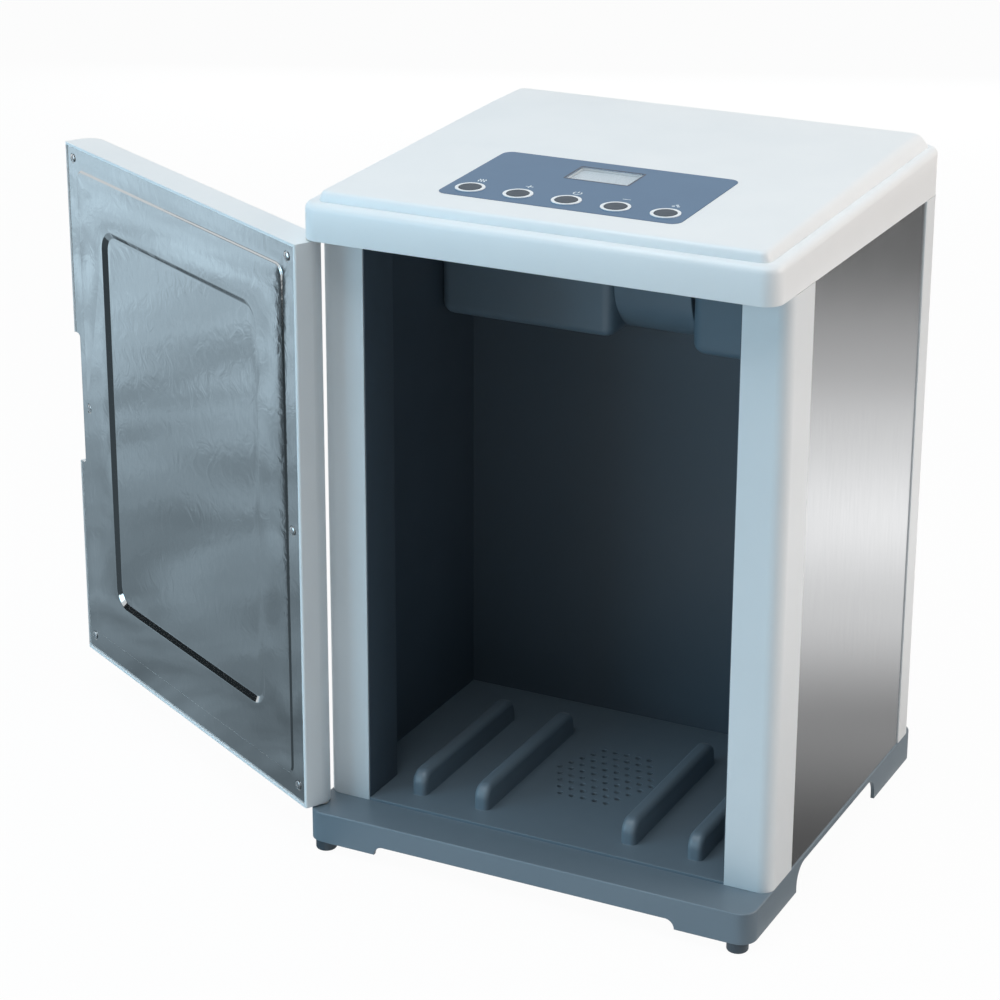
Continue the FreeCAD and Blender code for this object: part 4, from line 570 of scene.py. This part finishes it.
def screwTree():
    tree = bpy.data.node_groups.new("panHeadScrews", "GeometryNodeTree")
    face = tree.interface
    face.new_socket("Geometry", in_out="OUTPUT", socket_type="NodeSocketGeometry")
    face.new_socket("Places", in_out="INPUT", socket_type="NodeSocketGeometry")
    for name in screwSockets:
        face.new_socket(name, in_out="INPUT", socket_type="NodeSocketFloat")
    face.new_socket("Facing", in_out="INPUT", socket_type="NodeSocketRotation")
    face.new_socket("Finish", in_out="INPUT", socket_type="NodeSocketMaterial")
    given = addNode(tree, "NodeGroupInput").outputs
    # points on the axis, each a share of a size above or below the seat
    axis = {}
    for spot, size, share in (("headMiddle", "Head Height", 0.5), ("headTop", "Head Height", 1.0),
                              ("shankMiddle", "Shank Length", -0.5)):
        height = addNode(tree, "ShaderNodeMath", {0: given[size], 1: share}, operation="MULTIPLY").outputs[0]
        axis[spot] = addNode(tree, "ShaderNodeCombineXYZ", {2: height}).outputs[0]
    head = addNode(tree, "GeometryNodeMeshCylinder", {
        "Vertices": 32, "Side Segments": 4, "Fill Segments": 5, "Radius": given["Head Radius"],
        "Depth": given["Head Height"]}).outputs["Mesh"]
    # the dome drops the rim of the head by a share of its height
    place = addNode(tree, "GeometryNodeInputPosition").outputs[0]
    parts = addNode(tree, "ShaderNodeSeparateXYZ", {0: place}).outputs
    flat = addNode(tree, "ShaderNodeCombineXYZ", {0: parts[0], 1: parts[1]}).outputs[0]
    out = addNode(tree, "ShaderNodeVectorMath", {0: flat}, operation="LENGTH").outputs["Value"]
    share = addNode(tree, "ShaderNodeMath", {0: out, 1: given["Head Radius"]}, operation="DIVIDE").outputs[0]
    upper = addNode(tree, "ShaderNodeMath", {0: parts[2], 1: given["Head Height"]}, operation="DIVIDE").outputs[0]
    upper = addNode(tree, "ShaderNodeMath", {0: upper, 1: 0.5}, operation="ADD").outputs[0]
    drop = addNode(tree, "ShaderNodeMath", {0: share, 1: screwLook["domePower"]}, operation="POWER").outputs[0]
    for factor in (upper, given["Dome"], given["Head Height"], -1.0):
        drop = addNode(tree, "ShaderNodeMath", {0: drop, 1: factor}, operation="MULTIPLY").outputs[0]
    sag = addNode(tree, "ShaderNodeCombineXYZ", {2: drop}).outputs[0]
    head = addNode(tree, "GeometryNodeSetPosition", {"Geometry": head, "Offset": sag}).outputs[0]
    head = addNode(tree, "GeometryNodeTransform", {"Geometry": head, "Translation": axis["headMiddle"]}).outputs[0]
    depth = addNode(tree, "ShaderNodeMath", {0: given["Slot Depth"], 1: 2.0}, operation="MULTIPLY").outputs[0]
    cut = addNode(tree, "GeometryNodeMeshBoolean", operation="DIFFERENCE", solver="EXACT")
    tree.links.new(head, cut.inputs["Mesh 1"])
    for long, wide in (("Slot Length", "Slot Width"), ("Slot Width", "Slot Length")):
        size = addNode(tree, "ShaderNodeCombineXYZ", {0: given[long], 1: given[wide], 2: depth}).outputs[0]
        bar = addNode(tree, "GeometryNodeMeshCube", {"Size": size}).outputs["Mesh"]
        bar = addNode(tree, "GeometryNodeTransform", {"Geometry": bar, "Translation": axis["headTop"]}).outputs[0]
        tree.links.new(bar, cut.inputs["Mesh 2"])
    shank = addNode(tree, "GeometryNodeMeshCylinder", {
        "Vertices": 16, "Radius": given["Shank Radius"], "Depth": given["Shank Length"]}).outputs["Mesh"]
    shank = addNode(tree, "GeometryNodeTransform", {"Geometry": shank, "Translation": axis["shankMiddle"]}).outputs[0]
    whole = addNode(tree, "GeometryNodeJoinGeometry")
    tree.links.new(cut.outputs["Mesh"], whole.inputs[0])
    tree.links.new(shank, whole.inputs[0])
    spots = addNode(tree, "GeometryNodeMeshToPoints", {"Mesh": given["Places"]}).outputs[0]
    copies = addNode(tree, "GeometryNodeInstanceOnPoints", {
        "Points": spots, "Instance": whole.outputs[0], "Rotation": given["Facing"]}).outputs[0]
    real = addNode(tree, "GeometryNodeRealizeInstances", {0: copies}).outputs[0]
    done = addNode(tree, "GeometryNodeSetMaterial", {"Geometry": real, "Material": given["Finish"]}).outputs[0]
    addNode(tree, "NodeGroupOutput", {0: done})
    return tree


def grown(tree, places, values):
    # runs a tree on a cloud of places and gives the plain mesh
    cloud = bpy.data.meshes.new("places")
    cloud.from_pydata([tuple(p) for p in places], [], [])
    holder = bpy.data.objects.new("placesHolder", cloud)
    bpy.context.scene.collection.objects.link(holder)
    stack = holder.modifiers.new("repeat", "NODES")
    stack.node_group = tree
    sockets = {item.name: item.identifier for item in tree.interface.items_tree if item.in_out == "INPUT"}
    for name, value in values.items():
        stack[sockets[name]] = value
    bpy.context.view_layer.update()
    graph = bpy.context.evaluated_depsgraph_get()
    mesh = bpy.data.meshes.new_from_object(holder.evaluated_get(graph), depsgraph=graph)
    holder.modifiers.remove(stack)
    bpy.data.objects.remove(holder)
    return mesh


def makeScrews(node, body, out, name):
    out = Vector(out).normalized()
    values = {socket: screwLook[key] / 1000 for socket, key in screwSockets.items()}
    values["Dome"] = screwLook["dome"]
    values["Facing"] = out.to_track_quat("Z", "Y").to_euler()
    values["Finish"] = finishes["screw_steel"]
    mesh = grown(screws, screwSpots(node, out), values)
    return keep(name, mesh, finishes["screw_steel"], body, [node])


screws = screwTree()
doorOut = doorPlace.to_3x3() @ Vector((0, 1, 0))
panelUp = panelPlace.to_3x3() @ Vector((0, 0, 1))
makeScrews("door_panel_screws", "door", doorOut, "door_panel_screw_set")
makeScrews("rear_cover_screws", "root", (0, 1, 0), "rear_cover_screw_set")
makeScrews("power_board_screws", "root", (0, 1, 0), "power_board_screw_set")
makeScrews("control_board_screws", "root", -panelUp, "control_board_screw_set")
print("screws made")

# the heater and ion housings, with the round corners of a moulded cover
housingLook = dict(names=("heater_housing", "ion_housing"), wall=2, outerRound=9, arcSteps=6)


def cornerEdges(build, low, high):
    # the edges of a box that are neither at its top nor at its back
    def count(edge):
        ends = [v.co for v in edge.verts]
        sides = [all(abs(co.x - x) < 1e-5 for co in ends) for x in (low.x, high.x)]
        front = all(abs(co.y - low.y) < 1e-5 for co in ends)
        under = all(abs(co.z - low.z) < 1e-5 for co in ends)
        return any(sides) + front + under
    return [edge for edge in build.edges if count(edge) > 1]


def makeHousings():
    wall, outer, steps = housingLook["wall"] / 1000, housingLook["outerRound"] / 1000, housingLook["arcSteps"]
    for name in housingLook["names"]:
        build = bmesh.new()
        build.from_mesh(nodes[name].data)
        bmesh.ops.remove_doubles(build, verts=build.verts, dist=1e-6)
        bmesh.ops.dissolve_limit(build, angle_limit=math.radians(1), verts=build.verts, edges=build.edges)
        low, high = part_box(name)
        step = Vector((wall, wall, wall))
        for a, b, radius in ((low + step, high - step, outer - wall), (low, high, outer)):
            bmesh.ops.bevel(build, geom=cornerEdges(build, a, b), offset=radius, segments=steps, profile=0.5,
                            affect="EDGES", clamp_overlap=False)
        bmesh.ops.recalc_face_normals(build, faces=build.faces)
        mesh = bpy.data.meshes.new(name + "_rounded")
        build.to_mesh(mesh)
        build.free()
        keep(name + "_rounded", mesh, finishes[slotOf[name]], "root", [name])


makeHousings()
print("housings made")

# a thin dark sheet on the inner side of each front post, from the floor up to the lid: painted shade over the white
# post where its inner face falls in shade
shadeLiningLook = dict(thick=0.8, setBack=0.5, floorUp=2.25, clear=0.25)


def makeShadeLinings():
    thick, back, floorUp, clear = (shadeLiningLook[key] / 1000 for key in ("thick", "setBack", "floorUp", "clear"))
    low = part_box("left_front_post")[0].z + floorUp
    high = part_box("lid")[0].z - clear
    for name, side in (("left_front_post", -1), ("right_front_post", 1)):
        corner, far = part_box(name)
        inner = far.x if side < 0 else corner.x
        x = sorted((inner, inner - side * thick))
        loop = roundedLoop(*x, corner.y + back, far.y, thick * 0.4, 3)
        verts, faces = prism(loop, low, high)
        mesh = closedMesh(name + "_shade_lining", [(u * 1000, v * 1000, w * 1000) for u, v, w in verts], faces)
        # a dark sheet in the liner's finish over the white post, a painted shade
        keep(name + "_shade_lining", mesh, finishes["dark_liner"], "root")


makeShadeLinings()
print("linings made")

# printed signs over the buttons, and the frame round the display
signLook = dict(row=34.5, size=5.4, line=0.8, lift=0.22, thick=0.05, frameLine=1.3)


def ribbon(points, width, lift):
    # a flat stroke through points, with square ends
    sides = ([], [])
    for i, point in enumerate(points):
        before, after = points[max(i - 1, 0)], points[min(i + 1, len(points) - 1)]
        along = Vector((after[0] - before[0], after[1] - before[1])).normalized()
        off = Vector((-along.y, along.x)) * width / 2
        sides[0].append((point[0] + off.x, point[1] + off.y))
        sides[1].append((point[0] - off.x, point[1] - off.y))
    return prism(sides[0] + sides[1][::-1], lift, lift + signLook["thick"])


def signStrokes(kind, x, y):
    s = signLook["size"]
    if kind == "warmAir":
        return [[(x + dx + 0.55 * math.sin(t * 1.15), y - s / 2 + s * t / 10) for t in range(11)] for dx in (-2, 0, 2)]
    if kind == "more":
        return [[(x - s / 2, y), (x + s / 2, y)], [(x, y - s / 2), (x, y - signLook["line"] / 2)],
                [(x, y + signLook["line"] / 2), (x, y + s / 2)]]
    if kind == "less":
        return [[(x - s / 2, y), (x + s / 2, y)]]
    if kind == "power":
        turns = [math.radians(a) for a in range(125, 416, 15)]
        arc = [(x + s / 2 * math.cos(a), y - 0.3 + s / 2 * math.sin(a)) for a in turns]
        return [arc, [(x, y - 0.1), (x, y + s * 0.58)]]
    ring = [math.radians(a) for a in range(0, 361, 24)]
    dots = []
    for dx, dy in ((-1.7, -0.9), (1.7, -0.9), (0, 1.7)):
        dots.append([(x + dx + 0.7 * math.cos(a), y + dy + 0.7 * math.sin(a)) for a in ring])
    return dots


def makeSigns():
    lift, line = signLook["lift"], signLook["line"]
    strokes = []
    for x, kind in zip(buttonXs, ("warmAir", "more", "power", "less", "ions")):
        strokes += [ribbon(stroke, line, lift) for stroke in signStrokes(kind, x, signLook["row"])]
    mesh = closedMesh("signs", *merged(strokes), panelPlace)
    keep("control_signs", mesh, inkPale, "root")
    wide, edge = panelLook["displayWidth"] / 2, signLook["frameLine"]
    y0, y1 = panelLook["displayFront"], panelLook["displayBack"]
    rings = []
    for out, level in ((edge, lift), (edge, lift + 0.05), (0, lift + 0.05), (0, lift)):
        loop = roundedLoop(-wide - out, wide + out, y0 - out, y1 + out, 0.4 + out, 5)
        rings.append([(x, y, level) for x, y in loop])
    verts, faces = loft(rings + rings[:1])
    count = len(rings[0])
    faces = [tuple(i % (4 * count) for i in face) for face in faces]
    mesh = closedMesh("displayFrame", verts[:4 * count], faces, panelPlace)
    keep("display_frame", mesh, inkDark, "root")


makeSigns()
print("signs made")

# studio: a pale floor, soft lamps, glowing cards that paint reflections on the bright metal, and the camera
studio = dict(
    cameraPlace=(0.7403, -1.6660, 0.9368), cameraPitch=19.17, cameraYaw=26.64, cameraRoll=0.2, lens=102.56,
    cameraShift=-0.1, floorSize=14, floorColour="#EEF0F1", floorGlow=0.965,
    grillePlace=(-0.01, 0, 0), grilleShade=(0.075, 0.125),
    airColour="#DCE9F1", airStrength=0.16,
)
lamps = {
    # name: place, aimed at, size across and up, watts, colour
    "leftLamp": ((-1.5, -1.75, 0.6), (0, -0.1, 0.25), (1.4, 1.1), 20, "#A6DBF5"),
    "rightLamp": ((2.3, 0.75, 1.2), (0, 0, 0.25), (1.6, 1.4), 33, "#FFEFE4"),
    "backLamp": ((-0.9, 2.2, 0.3), (0, 0.1, 0.25), (1.8, 0.3), 11, "#F4F8FB"),
    "topLamp": ((-0.2, -0.6, 2.4), (0, 0, 0.3), (2.0, 1.8), 36, "#EDF5FA"),
}
paintedReflectionCards = {
    # name: corners, start and direction of its glow ramp, (metres along it, grey) pairs, tint and mottling; each card
    # glows as a painted reflection
    "rightCard": (((0.17, -0.4, 0), (0.7, 0.2, 0), (1.1, 1.5, 0), (1.1, 2.3, 0), (0.5, 2.3, 0), (0.17, 0.6, 0)),
                  (-0.412, -1.666, 0), (0.448, 0.894, 0),
                  ((1.75, 0.12), (1.95, 0.36), (2.17, 0.95), (2.37, 1.38), (2.61, 1.0), (2.79, 0.62), (3.25, 0.14)),
                  "#FFFFFF", 0.0),
    "leftCard": (((-0.15, -0.13, 0), (-0.15, -0.165, 0), (-2.4, -0.32, 0), (-2.4, 0.35, 0), (-0.5, 0.2, 0),
                  (-0.45, 0.03, 0)),
                 (-0.2, 0, 0), (-1, 0, 0),
                 ((0.0, 0.27), (0.25, 0.31), (0.6, 0.42), (1.0, 0.70), (1.6, 1.0)), "#DDF2FF", 0.35),
    "frontCard": (((-0.15, -0.165, 0), (-0.15, -1.7, 0), (-2.4, -1.7, 0), (-2.4, -0.32, 0)),
                  (0, -0.4, 0), (0, -1, 0), ((0, 0.10), (1.3, 0.04)), "#DDF2FF", 0.0),
    "leftBackCard": (((-0.5, 0.2, 0), (-2.4, 0.35, 0), (-2.4, 1.0, 0), (-0.5, 0.9, 0)),
                     (0, 0.2, 0), (0, 1, 0), ((0, 0.05), (0.6, 0.02)), "#DDF2FF", 0.0),
    "farCard": (((-2.4, -1.0, 0), (-2.4, -0.15, 0), (-2.4, -0.15, 0.75), (-2.4, -1.0, 0.75)),
                (0, -1.0, 0), (0, 1, 0), ((0, 0.02), (0.85, 0.03)), "#DDF2FF", 0.0),
}


def glowRamp(tree, place, start, along, stops):
    # distance along a floor direction, turned into a grey
    offset = addNode(tree, "ShaderNodeVectorMath", {0: place, 1: start}, operation="SUBTRACT").outputs[0]
    reach = addNode(tree, "ShaderNodeVectorMath", {0: offset, 1: along}, operation="DOT_PRODUCT")
    near, far = stops[0][0], stops[-1][0]
    share = addNode(tree, "ShaderNodeMapRange", {"Value": reach.outputs["Value"], 1: near, 2: far}).outputs[0]
    ramp = addNode(tree, "ShaderNodeValToRGB", {0: share})
    ramp.color_ramp.interpolation = "EASE"
    points = ramp.color_ramp.elements
    for spot, grey in stops[1:-1]:
        points.new((spot - near) / (far - near)).color = (grey, grey, grey, 1)
    for point, (spot, grey) in ((points[0], stops[0]), (points[-1], stops[-1])):
        point.color = (grey, grey, grey, 1)
    return ramp.outputs[0]


def makePaintedReflectionCard(name, corners, start, along, stops, tint, mottle):
    # a card that glows grey and shows only in reflections: a painted reflection on the bright metal
    mesh = bpy.data.meshes.new(name)
    mesh.from_pydata([(x, y, z + 0.0005) for x, y, z in corners], [], [tuple(range(len(corners)))])
    material, tree, shader, place = newMaterial(name + "ReflectionGlow", {"Roughness": 1.0})
    cloud = addNode(tree, "ShaderNodeTexNoise", {"Vector": place, "Scale": 7.0, "Detail": 3.0, "Distortion": 1.0})
    level = spread(tree, cloud.outputs[0], 1 - mottle, 1 + mottle)
    grey = addNode(tree, "ShaderNodeVectorMath", {0: glowRamp(tree, place, start, along, stops), 1: colour(tint)[:3]},
                   operation="MULTIPLY").outputs[0]
    # the glow is the painted reflection: a grey ramp with mottling that the bright metal mirrors
    glow = addNode(tree, "ShaderNodeEmission", {"Color": grey, "Strength": level})
    end = next(n for n in tree.nodes if n.type == "OUTPUT_MATERIAL")
    tree.links.new(glow.outputs[0], end.inputs["Surface"])
    mesh.materials.append(material)
    card = bpy.data.objects.new(name, mesh)
    bpy.context.scene.collection.objects.link(card)
    card.visible_camera = card.visible_diffuse = card.visible_shadow = card.visible_transmission = False


def seenOrMirrored(tree):
    path = addNode(tree, "ShaderNodeLightPath").outputs
    rays = {0: path["Is Camera Ray"], 1: path["Is Glossy Ray"]}
    both = addNode(tree, "ShaderNodeMath", rays, operation="MAXIMUM").outputs[0]
    rays = {0: both, 1: path["Is Transmission Ray"]}
    return addNode(tree, "ShaderNodeMath", rays, operation="MAXIMUM").outputs[0]


def makeFloor():
    size = studio["floorSize"] / 2
    mesh = bpy.data.meshes.new("studioFloor")
    mesh.from_pydata([(-size, -size, 0), (size, -size, 0), (size, size, 0), (-size, size, 0)], [], [(0, 1, 2, 3)])
    material, tree, shader, place = newMaterial("floorReflectionGlow", {"Roughness": 0.9, "Specular IOR Level": 0.1})
    grain = addNode(tree, "ShaderNodeTexNoise", {"Vector": place, "Scale": 3.0, "Detail": 2.0})
    tint = blendColours(tree, grain.outputs[0], studio["floorColour"], "#EBEDEE")
    tree.links.new(tint, shader.inputs["Base Color"])
    # seen directly, the paper glows towards white and still keeps a soft shadow; under the grille the glow is masked
    # off in a disc, a painted shade that keeps the floor dark there
    share = {0: seenOrMirrored(tree), 1: studio["floorGlow"]}
    share = addNode(tree, "ShaderNodeMath", share, operation="MULTIPLY").outputs[0]
    away = addNode(tree, "ShaderNodeVectorMath", {0: place, 1: studio["grillePlace"]}, operation="DISTANCE")
    near, far = studio["grilleShade"]
    clear = addNode(tree, "ShaderNodeMapRange", {"Value": away.outputs["Value"], 1: near, 2: far}).outputs[0]
    share = addNode(tree, "ShaderNodeMath", {0: share, 1: clear}, operation="MULTIPLY").outputs[0]
    glow = addNode(tree, "ShaderNodeEmission", {"Strength": 1.0})
    end = next(n for n in tree.nodes if n.type == "OUTPUT_MATERIAL")
    both = addNode(tree, "ShaderNodeMixShader", {0: share, 1: shader.outputs[0], 2: glow.outputs[0]})
    tree.links.new(both.outputs[0], end.inputs["Surface"])
    mesh.materials.append(material)
    floor = bpy.data.objects.new("studioFloor", mesh)
    bpy.context.scene.collection.objects.link(floor)


def makeLights():
    for name, (spot, target, across, watts, tone) in lamps.items():
        light = bpy.data.lights.new(name, "AREA")
        light.shape, light.size, light.size_y = "RECTANGLE", across[0], across[1]
        light.energy, light.color = watts, colour(tone)[:3]
        lamp = bpy.data.objects.new(name, light)
        lamp.location = spot
        lamp.rotation_euler = (Vector(target) - Vector(spot)).to_track_quat("-Z", "Y").to_euler()
        lamp.visible_glossy = name != "backLamp"
        bpy.context.scene.collection.objects.link(lamp)
    world = bpy.data.worlds.new("studioAir")
    world.use_nodes = True
    tree = world.node_tree
    tree.nodes.clear()
    white = addNode(tree, "ShaderNodeBackground", {"Color": (1, 1, 1, 1), "Strength": 1.0})
    air = addNode(tree, "ShaderNodeBackground", {
        "Color": colour(studio["airColour"]), "Strength": studio["airStrength"]})
    both = addNode(tree, "ShaderNodeMixShader", {0: seenOrMirrored(tree), 1: air.outputs[0], 2: white.outputs[0]})
    addNode(tree, "ShaderNodeOutputWorld", {"Surface": both.outputs[0]})
    bpy.context.scene.world = world


def makeCamera():
    lens = bpy.data.cameras.new("camera")
    lens.lens, lens.sensor_width, lens.shift_y = studio["lens"], 36, studio["cameraShift"]
    lens.clip_start, lens.clip_end = 0.05, 60
    camera = bpy.data.objects.new("camera", lens)
    turn = Matrix.Rotation(math.radians(studio["cameraYaw"]), 4, "Z")
    turn = turn @ Matrix.Rotation(math.radians(90 - studio["cameraPitch"]), 4, "X")
    turn = turn @ Matrix.Rotation(math.radians(studio["cameraRoll"]), 4, "Z")
    camera.matrix_world = Matrix.Translation(studio["cameraPlace"]) @ turn
    bpy.context.scene.collection.objects.link(camera)
    bpy.context.scene.camera = camera


bpy.context.scene.view_settings.view_transform = "Standard"
makeFloor()
for cardName, cardShape in paintedReflectionCards.items():
    makePaintedReflectionCard(cardName, *cardShape)
makeLights()
makeCamera()
print("studio made")
